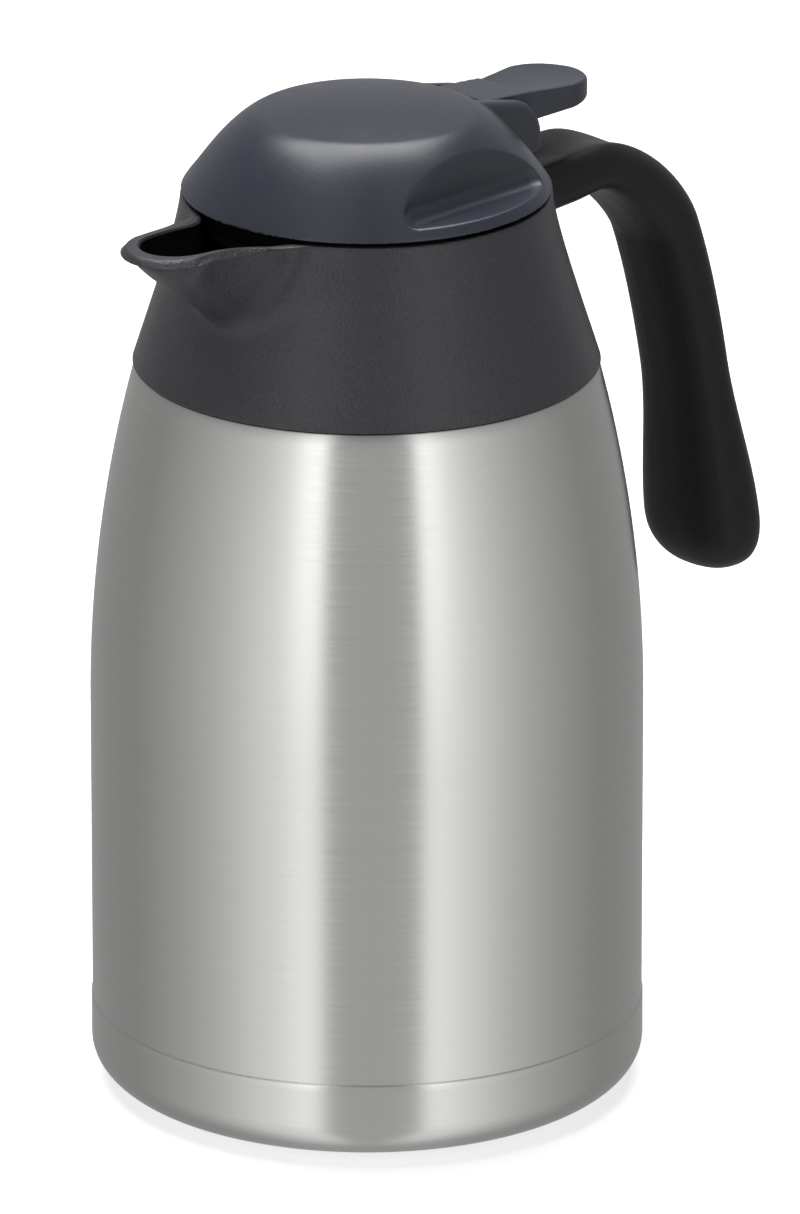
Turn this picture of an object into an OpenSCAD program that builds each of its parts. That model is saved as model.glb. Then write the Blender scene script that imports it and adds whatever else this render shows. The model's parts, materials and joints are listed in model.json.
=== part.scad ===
// Vacuum-insulated carafe with a moulded collar, a free-ended handle and a
// stopper lid whose thumb lever lifts a spring-loaded valve.
// Origin: centre of the foot. +Z up, the spout points to -X, the handle to +X.

/* [Steel body] */
// Outside radius of the steel body
body_r = 66.25; // [65:0.25:68]
// Height of the collar's lower edge
collar_z = 180; // [176:1:184]
// Height at which the straight wall turns into the shoulder
shoulder_z = 96; // [90:1:102]
// Radius of the long shoulder curve, seen from the side
shoulder_curve_r = 325; // [310:5:350]
// Thickness of the outer wall
outer_wall = 0.7; // [0.5:0.1:0.9]
// Thickness of the inner wall
inner_wall = 0.6; // [0.5:0.1:0.8]
// Width of the vacuum between the walls
vacuum_gap = 6; // [5:0.5:7]
// Height of the inner floor above the table
inner_floor_z = 14; // [13:0.5:18]
// Corner radius of the inner floor
inner_corner_r = 12; // [8:1:16]
// Inside radius of the neck
neck_r = 33; // [32.5:0.25:33.5]

/* [Base] */
// Height of the welded seam above the table
seam_z = 21; // [18:0.5:24]
// How far the base cup stands proud of the body
base_proud = 0.25; // [0.1:0.05:0.4]
// Outside radius of the flat foot
foot_r = 53; // [51:0.5:55]
// Height of the rounded corner above the foot
foot_corner_h = 10; // [8:0.5:12]
// Width of the flat foot ring
foot_w = 8; // [6:0.5:10]
// Depth of the recess in the underside
recess_h = 3; // [2.5:0.25:4]
// Radius of the sealing dimple
dimple_r = 7; // [6:0.5:9]
// Height of the sealing dimple
dimple_h = 2; // [1.5:0.25:2.5]

/* [Collar] */
// Height of the collar
collar_h = 42.3; // [41:0.5:44]
// Outside radius of the collar's rim
rim_r = 44.1; // [43.8:0.1:44.6]
// How far the collar's lower edge stands proud of the steel
collar_proud = 0.45; // [0.3:0.05:0.6]
// Thickness of the collar's skin
collar_wall = 2.2; // [2:0.1:2.3]
// Depth of the steel mouth below the collar's rim
mouth_drop = 21.3; // [20.5:0.1:22]

/* [Spout] */
// Distance from the body's axis to the tip of the spout
spout_reach = 78.4; // [76:0.5:81]
// Half width of the spout's lip
spout_half_w = 12.3; // [11.5:0.1:13.5]
// How far the keel starts below the rim
spout_drop = 23.2; // [22:0.2:24]
// Width of the flat top of the lip
lip_w = 1.7; // [1.4:0.1:2.2]

/* [Lid] */
// Dark gap between the collar and the dome
lid_gap = 1.1; // [0.9:0.1:1.3]
// Height of the dome
dome_h = 21.2; // [20.5:0.1:22]
// Outside radius of the dome's rim
dome_r = 44.1; // [43.8:0.1:44.4]
// Radius of the flat crown
crown_r = 25.5; // [24.5:0.5:26.5]
// Wall of the dome
dome_wall = 2.2; // [2:0.1:2.4]
// Distance from the axis to the back wall of a finger recess
recess_y = 31.8; // [31.4:0.1:32.4]
// Height of a recess floor above the dome's rim
recess_floor = 2.5; // [2:0.25:3]

/* [Lever] */
// Distance from the axis to the lever's pivot
pivot_x = 39; // [38.5:0.25:39.5]
// Height of the pivot above the dome's rim
pivot_rise = 5.8; // [5.6:0.1:6]
// Half width of the lever between the cheeks
lever_half_w = 8.4; // [8.2:0.1:8.6]
// Half width of the lever's tail
tail_half_w = 11; // [10:0.5:12]
// Distance from the axis to the lever's tip
tail_x = 72.4; // [70:0.5:75]
// Thickness of a cheek
cheek_w = 4.3; // [4:0.1:4.6]
// Radius of the pivot pin
pin_r = 1.5; // [1.3:0.1:1.7]

/* [Valve] */
// Radius of the valve stem
stem_r = 3; // [2.8:0.1:3.2]
// Radius of the hole in the valve seat
seat_r = 13; // [12:0.5:14]
// Length of the stopper below the steel mouth
stopper_depth = 25; // [24.5:0.25:26]
// Mean radius of the spring
spring_r = 8.5; // [8.3:0.1:8.8]
// Radius of the spring's wire
wire_r = 0.6; // [0.5:0.05:0.7]
// Turns of the spring
spring_turns = 7; // [6:1:8]

/* [Handle] */
// Depth of the arm's centre line below the collar's rim
arm_drop = 10.6; // [10:0.1:11]
// Half width of the grip
grip_half_w = 11.7; // [11:0.1:12.5]
// Half depth of the grip
grip_half_d = 7.9; // [7.5:0.1:8.5]
// Distance from the axis to the grip below the bend
grip_top_x = 102; // [100:0.5:104]
// Distance from the axis to the lower end of the grip
grip_end_x = 123; // [121:0.5:126]
// Height of the grip's lower end above the table
grip_end_z = 97; // [92:1:102]
// How much the lower end swells, as a share of the grip
grip_swell = 0.4; // [0.32:0.02:0.46]

/* [Hidden] */
$fn = 96;

// Clearances
slide_gap = 0.3;    // between moving pieces
run_gap = 0.05;     // round a pin or stem that turns or slides in its bore
fit_gap = 0.1;      // between pieces that are fixed together
cut_far = body_r;   // reach of a cut that runs right through

steel = [0.72, 0.72, 0.70];
copper = [0.72, 0.45, 0.30];
grey = [0.23, 0.24, 0.26];
black = [0.12, 0.12, 0.13];
dome_grey = [0.32, 0.33, 0.36];
silicone = [0.75, 0.76, 0.74];
white = [0.85, 0.85, 0.83];

// ---------- curves ----------

// Points of a cubic Bezier curve
function bezier(a, b, c, d, n) = [for (i = [0:n]) let (t = i / n, u = 1 - t)
    u * u * u * a + 3 * u * u * t * b + 3 * u * t * t * c + t * t * t * d];
// Unit direction of a cubic Bezier curve
function bezier_dir(a, b, c, d, t) = let (u = 1 - t,
    v = u * u * (b - a) + 2 * u * t * (c - b) + t * t * (d - c)) v / norm(v);
function bezier_at(a, b, c, d, t) = let (u = 1 - t)
    u * u * u * a + 3 * u * u * t * b + 3 * u * t * t * c + t * t * t * d;
// Points of an elliptical quarter from angle a0 to a1
function ellipse_arc(centre, rx, rz, a0, a1, n) = [for (i = [0:n]) let (a = a0 + (a1 - a0) * i / n)
    [centre[0] + rx * cos(a), centre[1] + rz * sin(a)]];
function reverse(list) = [for (i = [len(list) - 1:-1:0]) list[i]];
function mix(a, b, t) = a + (b - a) * t;
// Smooth step from 0 to 1
function ease(t) = let (c = max(0, min(1, t))) c * c * (3 - 2 * c);
// Signed power, for superellipses
function spow(v, p) = sign(v) * pow(abs(v), p);

module turned(points) rotate_extrude() polygon(points);

module tube(r_in, r_out, z0, z1) translate([0, 0, z0]) difference() {
    cylinder(r = r_out, h = z1 - z0);
    translate([0, 0, -1]) cylinder(r = r_in, h = z1 - z0 + 2);
}

// Closed skin through rings of points, all with the same count
module loft(rings) {
    n = len(rings[0]);
    m = len(rings);
    faces = concat(
        [[for (i = [0:n - 1]) i]],
        [for (k = [0:m - 2], i = [0:n - 1]) [k * n + i, (k + 1) * n + i, k * n + (i + 1) % n]],
        [for (k = [0:m - 2], i = [0:n - 1])
            [(k + 1) * n + i, (k + 1) * n + (i + 1) % n, k * n + (i + 1) % n]],
        [[for (i = [n - 1:-1:0]) (m - 1) * n + i]]);
    polyhedron([for (ring = rings) for (p = ring) p], faces, convexity = 8);
}

// ---------- heights and radii that follow from the sizes above ----------

rim_z = collar_z + collar_h;
dome_z = rim_z + lid_gap;
mouth_z = rim_z - mouth_drop;

// ---------- steel vessel ----------

// Radius of the body at height z, measured in from the outer surface by inset
function body_at(z, inset = 0) = let (c = shoulder_curve_r - inset)
    body_r - inset - (z > shoulder_z ? c - sqrt(c * c - pow(z - shoulder_z, 2)) : 0);
function body_curve(inset, z0, z1) = concat([[body_at(z0, inset), z0]],
    [for (i = [0:14]) let (z = mix(max(z0, shoulder_z), z1, i / 14)) [body_at(z, inset), z]]);

collar_step = 1.6 + slide_gap + fit_gap;   // the shell steps in to clear the collar's skin
ledge_r = body_at(collar_z) - collar_step;
cap_h = 10;
neck_gap = 1.2;
liner_neck_r = neck_r + inner_wall;
neck_in_r = liner_neck_r + neck_gap;
neck_out_r = neck_in_r + outer_wall;

module outer_shell() color(steel) turned(concat(
    body_curve(0, seam_z, collar_z),
    ellipse_arc([neck_out_r, collar_z], ledge_r - neck_out_r, cap_h, 0, 90, 10),
    [[neck_out_r, mouth_z - inner_wall], [neck_in_r, mouth_z - inner_wall]],
    reverse(ellipse_arc([neck_in_r, collar_z - outer_wall],
        ledge_r - outer_wall - neck_in_r, cap_h, 0, 90, 10)),
    reverse(body_curve(outer_wall, seam_z, collar_z - outer_wall))));

liner_inset = outer_wall + vacuum_gap;
liner_turn_z = collar_z - 7;
liner_cap_h = 14;

// Profile of the liner, from the middle of the floor up to the neck
function liner_profile(inset, floor_z, neck, corner) = concat(
    [[0, floor_z]],
    ellipse_arc([body_at(0, inset) - corner, floor_z + corner], corner, corner, -90, 0, 8),
    body_curve(inset, floor_z + corner + 1, liner_turn_z),
    ellipse_arc([neck, liner_turn_z], body_at(liner_turn_z, inset) - neck,
        liner_cap_h - (inset - liner_inset), 1, 90, 10));

module inner_vessel() color(steel) turned(concat(
    liner_profile(liner_inset, inner_floor_z - inner_wall, liner_neck_r, inner_corner_r),
    [[liner_neck_r, mouth_z - inner_wall], [neck_out_r, mouth_z - inner_wall],
        [neck_out_r, mouth_z], [neck_r, mouth_z]],
    reverse(liner_profile(liner_inset + inner_wall, inner_floor_z, neck_r, inner_corner_r))));

liner_r = body_at(0, liner_inset);
shield_t = 0.2;
module heat_shield() color(copper)
    tube(liner_r + run_gap, liner_r + run_gap + shield_t,
        inner_floor_z + inner_corner_r + 4, shoulder_z - 4);

getter_x = 22;
getter_r = 5;
getter_h = 3;
module getter() color(copper) translate([getter_x, 0, inner_floor_z - inner_wall - getter_h])
    cylinder(r = getter_r, h = getter_h);

// ---------- base ----------

cup_r = body_r + base_proud;
recess_r = foot_r - foot_w;
base_wall = outer_wall;
evac_r = 1.5;

module base_cup() color(steel) turned(concat(
    [[evac_r, recess_h + dimple_h], [dimple_r - 1, recess_h + dimple_h], [dimple_r, recess_h],
        [recess_r, recess_h], [recess_r + 1, 0], [foot_r, 0]],
    ellipse_arc([foot_r, foot_corner_h], cup_r - foot_r, foot_corner_h, -80, 0, 10),
    [[cup_r, seam_z], [cup_r - base_wall, seam_z]],
    reverse(ellipse_arc([foot_r, foot_corner_h], cup_r - foot_r - base_wall,
        foot_corner_h - base_wall, -90, 0, 10)),
    [[recess_r + 1 + base_wall, base_wall], [recess_r + base_wall / 2, recess_h + base_wall],
        [dimple_r + base_wall, recess_h + base_wall],
        [dimple_r, recess_h + dimple_h + base_wall],
        [evac_r, recess_h + dimple_h + base_wall]]));

// Bead of brazing metal over the evacuation hole, in the dimple
module vacuum_seal() color(steel) {
    bead_r = dimple_r - 3;
    translate([0, 0, recess_h + dimple_h - 0.9]) cylinder(r = bead_r, h = 0.9);
}

plate_t = 0.8;
module base_plate() color(steel)
    translate([0, 0, recess_h - plate_t]) cylinder(r = recess_r - 0.5, h = plate_t);

// ---------- collar and spout ----------

collar_r = body_at(collar_z) + collar_proud;
edge_round = 0.8;
// Outer profile of the collar, from its lower edge to the rim, moved in by inset
function collar_curve(inset) = bezier([collar_r - inset, collar_z + edge_round],
    [mix(collar_r, rim_r, 0.375) - inset, mix(collar_z, rim_z, 0.343)],
    [mix(collar_r, rim_r, 0.956) - inset, mix(collar_z, rim_z, 0.804)],
    [rim_r - inset, rim_z], 14);

bowl_r = rim_r - 2.3;
gasket_t = 1.4;
floor_z = mouth_z + gasket_t;       // top of the collar's floor
floor_t = 2.2;
skirt_r = neck_out_r + 0.2;         // inside of the threaded skirt
skirt_t = 1.5;
hub_r = skirt_r + skirt_t + 0.2;
hub_t = 2;
hub_h = 10;
flange_t = 2.2;                     // throat ring's flange
throat_z = floor_z + flange_t;

module collar_body() turned(concat(
    [[collar_r - collar_wall + 0.4, collar_z], [collar_r - edge_round, collar_z]],
    collar_curve(0),
    [[bowl_r, rim_z], [bowl_r, floor_z], [hub_r, floor_z], [hub_r, floor_z - hub_h],
        [hub_r + hub_t, floor_z - hub_h], [hub_r + hub_t, floor_z - floor_t],
        [bowl_r + 2.2, floor_z - floor_t], [bowl_r + 2.2, floor_z + 7.6]],
    reverse([for (p = collar_curve(collar_wall)) if (p[1] < floor_z + 7) p])));

// Spout, as U-shaped rings across the X axis, from its root inside the collar to its tip
spout_x = spout_reach;
nose_x = mix(rim_r, spout_x, 0.657);
root_x = rim_r - 5;
keel_x = rim_r + 2.4;
flare = 5.5;         // how much wider the root is than the lip
root_fillet = 1.8;   // and how much wider still its corner with the collar is
chamfer_w = 1.4;     // the lip slopes down and out round its edge
chamfer_h = 1.5;
lip_step = 0.8;      // and the flank is set back below it
// How far the keel lies below the rim at distance x
function keel_drop(x) = spout_drop * pow(max(0, (spout_x - 1.3 - x) / (spout_x - 1.3 - keel_x)), 0.8);
// Height of the lip at distance x
function lip_z(x) = let (t = max(0, min(1, (x - rim_r) / (spout_x - rim_r))), u = 1 - t)
    rim_z - 0.3 * u * u + 5.6 * u * t + 1.8 * t * t;
// Half width at distance x, moved in by inset
function spout_w(x, inset) = x < nose_x
    ? spout_half_w - inset + flare * pow((nose_x - x) / (nose_x - root_x), 3)
        + root_fillet * pow(max(0, (rim_r + 0.7 - x) / (rim_r + 0.7 - root_x)), 2)
    : (spout_half_w - inset) * sqrt(max(0, 1 - pow((x - nose_x) / (spout_x - nose_x - inset), 2)));
function spout_stations(inset) = concat([for (i = [0:10]) mix(root_x, nose_x, pow(i / 10, 1.35))],
    [for (a = [15, 30, 45, 58, 69, 78, 85]) nose_x + (spout_x - nose_x - inset) * sin(a)]);
// How much of the lip's edge shape is present: none at the collar, all from 12 mm out
function edge_share(x) = 0.05 + 0.95 * ease((x - rim_r - 2) / 12);

// U-shaped ring at distance x, from the end of one wall, round under the keel, to the other:
// first and last are [half width, height], the U hangs from half width w at height top to low
function u_ring(x, end, edge, w, top, low, n = 14) = concat([[-x, end[0], end[1]], [-x, edge[0], edge[1]]],
    [for (i = [0:n]) let (a = 90 - 180 * i / n) [-x, w * sin(a), top - (top - low) * cos(a)]],
    [[-x, -edge[0], edge[1]], [-x, -end[0], end[1]]]);

function spout_outer() = [for (x = spout_stations(0)) let (k = edge_share(x), lip = lip_z(x),
    past = max(0, (x - spout_x + chamfer_w) / chamfer_w), low = lip - chamfer_h * k)
    u_ring(x, [max(0.25, spout_w(x, chamfer_w * k)), lip - chamfer_h * past],
        [max(0.5, spout_w(x, 0)), low], max(0.35, spout_w(x, lip_step * k)), low - 0.2,
        min(low - 0.5, rim_z - keel_drop(x)))];
channel_low = throat_z + 0.6;
channel_wall = chamfer_w + lip_w;
function spout_inner() = concat(
    [for (w = [spout_w(root_x, channel_wall) - 2])
        u_ring(rim_r - 12, [w, rim_z + 6], [w, rim_z + 0.1], w, rim_z, channel_low)],
    [for (x = spout_stations(channel_wall)) let (w = max(0.3, spout_w(x, channel_wall)))
        u_ring(x, [w + 0.2, rim_z + 6], [w + 0.1, rim_z + 0.5], w, rim_z - 0.5,
            min(rim_z - 1, max(channel_low, rim_z + 2 - keel_drop(x))))]);

tenon_w = 8;      // half width of the handle's tenon
tenon_h = 3;      // half height
arm_z = rim_z - arm_drop;

module collar() color(grey) difference() {
    union() {
        collar_body();
        difference() {
            loft(spout_outer());
            translate([0, 0, collar_z]) cylinder(r = bowl_r, h = cut_far);
        }
    }
    loft(spout_inner());
    translate([bowl_r + 0.8, -tenon_w - fit_gap, arm_z - tenon_h - fit_gap])
        cube([collar_r - bowl_r, 2 * (tenon_w + fit_gap), 2 * (tenon_h + fit_gap)]);
}

module throat_ring() color(grey) turned([[neck_r + 0.3, floor_z], [skirt_r, floor_z],
    [skirt_r, floor_z - hub_h + 1], [skirt_r + skirt_t, floor_z - hub_h + 1],
    [skirt_r + skirt_t, floor_z], [bowl_r - 0.8, floor_z], [bowl_r - 0.8, throat_z - 0.8],
    [bowl_r - 1.6, throat_z], [neck_r + 1.1, throat_z], [neck_r + 0.3, throat_z - 0.8]]);

module mouth_gasket() color(silicone) tube(neck_r + 0.3, neck_out_r, mouth_z, floor_z);

// ---------- handle ----------

// Centre line in the XZ plane: straight arm, bend, long grip
arm_start = [rim_r - 4, arm_z];
arm_end = [rim_r + 27.8, arm_z + 1.3];
grip_top = [grip_top_x, arm_z - 20.3];
grip_end = [grip_end_x, grip_end_z];
bend = [arm_end, arm_end + [10.5, 0], grip_top + [-4.8, 9.3], grip_top];
grip = [grip_top, grip_top + [11.6, -27.5], grip_end + [-5.3, 29.8], grip_end];

// Station along the handle: [x, z, direction x, direction z]
function on_arm(t) = concat(mix(arm_start, arm_end, t), [1, 0]);
function on_bend(t) = concat(bezier_at(bend[0], bend[1], bend[2], bend[3], t),
    bezier_dir(bend[0], bend[1], bend[2], bend[3], t));
function on_grip(t) = let (d = bezier_dir(grip[0], grip[1], grip[2], grip[3], t),
    a = -end_tilt * ease((t - end_t + 0.1) / (1.1 - end_t)))
    concat(bezier_at(grip[0], grip[1], grip[2], grip[3], t),
        [d[0] * cos(a) - d[1] * sin(a), d[0] * sin(a) + d[1] * cos(a)]);

arm_half_h = 7.1;
arm_half_w = 12.6;
end_tilt = 14;    // the lower end is turned towards level by this angle
end_len = 16;     // length of the rounded lower end
grip_len = norm(grip_end - grip_top);
swell_d = grip_half_d * (1 + grip_swell);
swell_w = grip_half_w * (1 + grip_swell * 0.7);
end_t = 1 - end_len / grip_len;
function swelling(t) = ease((t - 0.42) / (end_t - 0.40));
// Rounding of the lower end: 1 on the grip, 0 at its tip
function tip_round(t) = t <= end_t ? 1 : pow(max(0, 1 - pow((t - end_t) / (1 - end_t), 2.5)), 1 / 2.5);

// Ring of the handle at a station: superellipse with half depth d and half width w,
// whose top is dished by dish
function handle_ring(s, d, w, dish, n = 32) = [for (i = [0:n - 1])
    let (a = 360 * i / n, y = w * spow(cos(a), 0.82), raw = d * spow(sin(a), 0.82),
        low = raw > 0 ? dish * pow(max(0, 1 - pow(y / (w * 0.72), 2)), 1.2) : 0, h = raw - low)
    [s[0] - s[3] * h, y, s[1] + s[2] * h]];

arm_stations = [0, 0.35, 0.6, 0.8, 1];
bend_stations = [for (i = [1:7]) i / 7];
grip_stations = concat([for (i = [1:9]) end_t * i / 9],
    [for (a = [15:15:75]) end_t + (1 - end_t) * sin(a)], [0.994]);
function handle_rings() = concat(
    [for (t = arm_stations) handle_ring(on_arm(t), arm_half_h, arm_half_w, mix(2, 2.6, t))],
    [for (t = bend_stations) handle_ring(on_bend(t), mix(arm_half_h, grip_half_d, ease(t)),
        mix(arm_half_w, grip_half_w, ease(t)), 2.6 * (1 - ease(t * 1.1)))],
    [for (t = grip_stations) handle_ring(on_grip(t),
        mix(grip_half_d, swell_d, swelling(t)) * tip_round(t),
        mix(grip_half_w, swell_w, swelling(t)) * tip_round(t), 0)]);

// Strip along the body side of the bend and grip, depth deep and half_w wide
cover_half_w = 6.4;
cover_t = 2.6;
function strip_ring(s, d, half_w, depth) = [for (p = [[-half_w, -d - 3], [half_w, -d - 3],
    [half_w, -d + depth], [-half_w, -d + depth]]) [s[0] - s[3] * p[1], p[0], s[1] + s[2] * p[1]]];
function strip_rings(grow) = concat(
    [for (t = [0.25 - grow * 0.02, 0.4, 0.55, 0.7, 0.85]) strip_ring(on_bend(t),
        mix(arm_half_h, grip_half_d, ease(t)), cover_half_w + grow, cover_t + grow)],
    [for (t = [for (i = [0:8]) (end_t + grow * 0.004) * i / 8]) strip_ring(on_grip(t),
        mix(grip_half_d, swell_d, swelling(t)), cover_half_w + grow, cover_t + grow)]);

module collar_space() turned(concat([[0, collar_z - 1], [collar_r + 1, collar_z - 1],
    [collar_r, collar_z + edge_round]], collar_curve(0), [[rim_r, rim_z + 1], [0, rim_z + 1]]));

module handle_shell() color(black) {
    difference() {
        loft(handle_rings());
        loft(strip_rings(0.25));
        collar_space();
    }
    translate([bowl_r + 0.9, -tenon_w, arm_z - tenon_h])
        cube([rim_r - bowl_r + 3, 2 * tenon_w, 2 * tenon_h]);
}

module handle_cover() color(black) intersection() {
    loft(handle_rings());
    loft(strip_rings(0));
}

// ---------- lid ----------

crown_drop = 2.4;
crown_curve_r = (crown_r * crown_r + crown_drop * crown_drop) / (2 * crown_drop);
// Outer profile of the dome from the rim up to the axis, moved in by inset
function dome_profile(inset) = concat(
    bezier([dome_r - inset, dome_z], [dome_r - 4.8 - inset, dome_z + 7.1],
        [crown_r + 6 - inset * 0.8, dome_z + dome_h - crown_drop - 1.5 - inset * 0.8],
        [crown_r - inset * 0.4, dome_z + dome_h - crown_drop - inset], 12),
    [for (i = [1:5]) let (r = (crown_r - inset * 0.4) * (1 - i / 5))
        [r, dome_z + dome_h - inset - crown_curve_r + sqrt(crown_curve_r * crown_curve_r - r * r)]]);

tongue_r = bowl_r - 0.4;
tongue_t = 2;
tongue_h = 4.8;
base_top = dome_z - tongue_h;     // top face of lid_base
base_t = 2.2;
base_low = base_top - base_t;
cheek_in = lever_half_w + slide_gap;
cheek_out = cheek_in + cheek_w;
cheek_back = 9.5;    // the cheeks reach this far behind the pivot
cheek_x = pivot_x + cheek_back;
pivot_z = dome_z + pivot_rise;
screw_pcr = 30;
screw_r = 1.5;
screw_len = 8.5;
screw_head_h = 1.3;
boss_r = 3.2;
screw_angles = [60, 180, 300];

// Space cut away for a finger on each side: its wall is rounded in plan and along its foot
recess_half_x = 26.5;
recess_mid_x = 0.8;
recess_plan_r = 7;
recess_foot_r = 3.6;
// Outline at height z, moved in by inset, with the wall at distance y from the axis
function recess_ring(z, inset, y, half) = let (r = recess_plan_r - inset, h = half - inset)
    concat([[recess_mid_x + h, cut_far, z], [recess_mid_x - h, cut_far, z]],
        [for (p = ellipse_arc([recess_mid_x - h + r, y + inset + r], r, r, 180, 270, 6)) [p[0], p[1], z]],
        [for (p = ellipse_arc([recess_mid_x + h - r, y + inset + r], r, r, 270, 360, 6)) [p[0], p[1], z]]);
// grow widens the space, for the hollow inside the dome
module finger_recess(grow) for (side = [0, 1]) mirror([0, side, 0]) loft(concat(
    [for (a = [0:22.5:90]) recess_ring(
        dome_z + recess_floor - grow + recess_foot_r * (1 - cos(a)), recess_foot_r * (1 - sin(a)),
        recess_y - grow, recess_half_x + grow)],
    [recess_ring(dome_z + cut_far, 0, recess_y - grow, recess_half_x + grow)]));

module dome_solid() difference() {
    turned(concat([[0, dome_z]], dome_profile(0)));
    finger_recess(0);
}
module dome_cavity() difference() {
    turned(concat([[0, dome_z - 1], [tongue_r - tongue_t, dome_z - 1], [tongue_r - tongue_t, dome_z]],
        [for (p = dome_profile(dome_wall)) [min(p[0], tongue_r - tongue_t), p[1]]]));
    finger_recess(dome_wall);
}

// Cheek: a rounded plate beside the lever, whose outer edge is rounded over
cheek_front_x = 24;
cheek_corner = 9.5;
cheek_rise = 14.3;
cheek_top = dome_z + cheek_rise;
cheek_slope = 0.23;
cheek_edge_r = 2.6;
lever_front = 6.3;   // the lever's front face, ahead of its pivot
slot_floor = 1.6;    // floor of the lever's slot above the dome's rim
function cheek_ring(y, inset) = [for (p = concat([[cheek_front_x, dome_z],
        [cheek_front_x, cheek_top + cheek_slope * (cheek_x - cheek_corner - cheek_front_x) - inset]],
        ellipse_arc([cheek_x - cheek_corner, cheek_top - cheek_corner - 0.5],
            cheek_corner - inset, cheek_corner + 0.5 - inset, 79, 0, 8),
        [[cheek_x - inset, dome_z]])) [p[0], y, p[1]]];
module cheeks() for (side = [0, 1]) mirror([0, side, 0]) loft(concat([cheek_ring(cheek_in, 0)],
    [for (a = [0:22.5:90]) cheek_ring(cheek_out - cheek_edge_r * (1 - sin(a)), cheek_edge_r * (1 - cos(a)))]));

module lid_dome() color(dome_grey) difference() {
    union() {
        difference() {
            union() {
                dome_solid();
                cheeks();
            }
            difference() {
                dome_cavity();
                for (side = [-1, 1])
                    translate([cheek_front_x, side * (cheek_in + cheek_w / 2) - cheek_w / 2, dome_z - 2])
                        cube([cut_far, cheek_w, cut_far]);
            }
        }
        tube(tongue_r - tongue_t, tongue_r, base_top, dome_z + 0.5);
        intersection() {
            dome_solid();
            for (a = screw_angles) rotate([0, 0, a]) translate([screw_pcr, 0, dome_z - 1])
                cylinder(r = boss_r, h = cut_far);
        }
        for (a = screw_angles) rotate([0, 0, a]) translate([screw_pcr, 0, base_top])
            cylinder(r = boss_r, h = dome_z - base_top + 1);
    }
    // slot for the lever
    translate([pivot_x - lever_front - slide_gap, -cheek_in, dome_z + slot_floor])
        cube([cut_far, 2 * cheek_in, cut_far]);
    // blind holes for the pin
    translate([pivot_x, cheek_out - 1.6, pivot_z]) rotate([90, 0, 0])
        cylinder(r = pin_r + 0.02, h = 2 * (cheek_out - 1.6));
    for (a = screw_angles) rotate([0, 0, a]) translate([screw_pcr, 0, base_top - 1])
        cylinder(r = screw_r + run_gap, h = screw_len + 1);
}

guide_r = 6.5;
guide_h = 3.4;
seal_pocket_r = 6.6;
seal_pocket_h = 3;
module lid_base() color(grey) difference() {
    union() {
        translate([0, 0, base_low]) cylinder(r = tongue_r, h = base_t);
        tube(tongue_r - tongue_t - 2.2, tongue_r - tongue_t - 0.2, base_top - 0.5, base_top + 2);
        translate([0, 0, base_low]) cylinder(r = seal_pocket_r + 2, h = base_t + guide_h);
    }
    translate([0, 0, base_low - 1]) cylinder(r = stem_r + run_gap, h = cut_far);
    translate([0, 0, base_low - 1]) cylinder(r = seal_pocket_r, h = seal_pocket_h + 1);
    for (a = screw_angles) rotate([0, 0, a]) translate([screw_pcr, 0, base_low - 1]) {
        cylinder(r = screw_r + 0.2, h = cut_far);
        cylinder(r = screw_r * 2 + fit_gap, h = screw_head_h + 1);
    }
}

module lid_screws() color(steel) for (a = screw_angles) rotate([0, 0, a])
    translate([screw_pcr, 0, base_low]) {
        cylinder(r = screw_r * 2 - fit_gap, h = screw_head_h);
        cylinder(r = screw_r, h = base_t + screw_len - 1.2);
    }

// ---------- stopper and valve ----------

stopper_r = neck_r - 2.4;
stopper_wall = 3.2;
cup_z = mouth_z - stopper_depth;
cup_floor = 2.4;
seat_lip = 1;
bearing_z = throat_z + slide_gap;
bearing_t = 1.8;
groove_z = mouth_z - 9.6;
groove_h = 7.2;
groove_depth = 1.6;
rim_flange_r = tongue_r - 3.6;
rim_flange_t = 2.2;
port_half_w = 17;    // half width of the pouring port

module stopper_body() color(grey) difference() {
    turned([[seat_r, cup_z], [stopper_r - 2, cup_z], [stopper_r, cup_z + 2],
        [stopper_r, groove_z], [stopper_r - groove_depth, groove_z],
        [stopper_r - groove_depth, groove_z + groove_h], [stopper_r, groove_z + groove_h],
        [stopper_r, bearing_z], [neck_r + 3.5, bearing_z], [neck_r + 3.5, bearing_z + bearing_t],
        [stopper_r, bearing_z + bearing_t], [stopper_r, base_low - rim_flange_t],
        [rim_flange_r, base_low - rim_flange_t], [rim_flange_r, base_low],
        [stopper_r - stopper_wall, base_low], [stopper_r - stopper_wall, cup_z + cup_floor],
        [seat_r + 2.2, cup_z + cup_floor], [seat_r + 2.2, cup_z + cup_floor + seat_lip],
        [seat_r, cup_z + cup_floor + seat_lip]]);
    // pouring port
    translate([-cut_far, -port_half_w, bearing_z + bearing_t + 0.2])
        cube([cut_far - seat_r, 2 * port_half_w, base_low - rim_flange_t - bearing_z - bearing_t - 0.4]);
}

seal_lip_r = neck_r - slide_gap;
module stopper_seal() color(silicone) turned(concat(
    [[stopper_r - groove_depth + fit_gap, groove_z + 0.2], [stopper_r + 0.4, groove_z + 0.2]],
    [for (i = [0:2]) each [[seal_lip_r, groove_z + 1.1 + 2.3 * i], [seal_lip_r, groove_z + 1.6 + 2.3 * i],
        [stopper_r + 0.4, groove_z + 2.3 + 2.3 * i]]],
    [[stopper_r - groove_depth + fit_gap, groove_z + groove_h - 0.3]]));

gasket_z = cup_z + cup_floor + seat_lip + slide_gap;
valve_gasket_t = 1.2;
disc_z = gasket_z + valve_gasket_t;
disc_t = 2.1;
disc_r = seat_r + 4;
hub_top = disc_z + 10;
valve_lift = 8;

module valve_gasket() color(silicone) tube(seat_r - 1.5, disc_r, gasket_z, disc_z);

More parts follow.
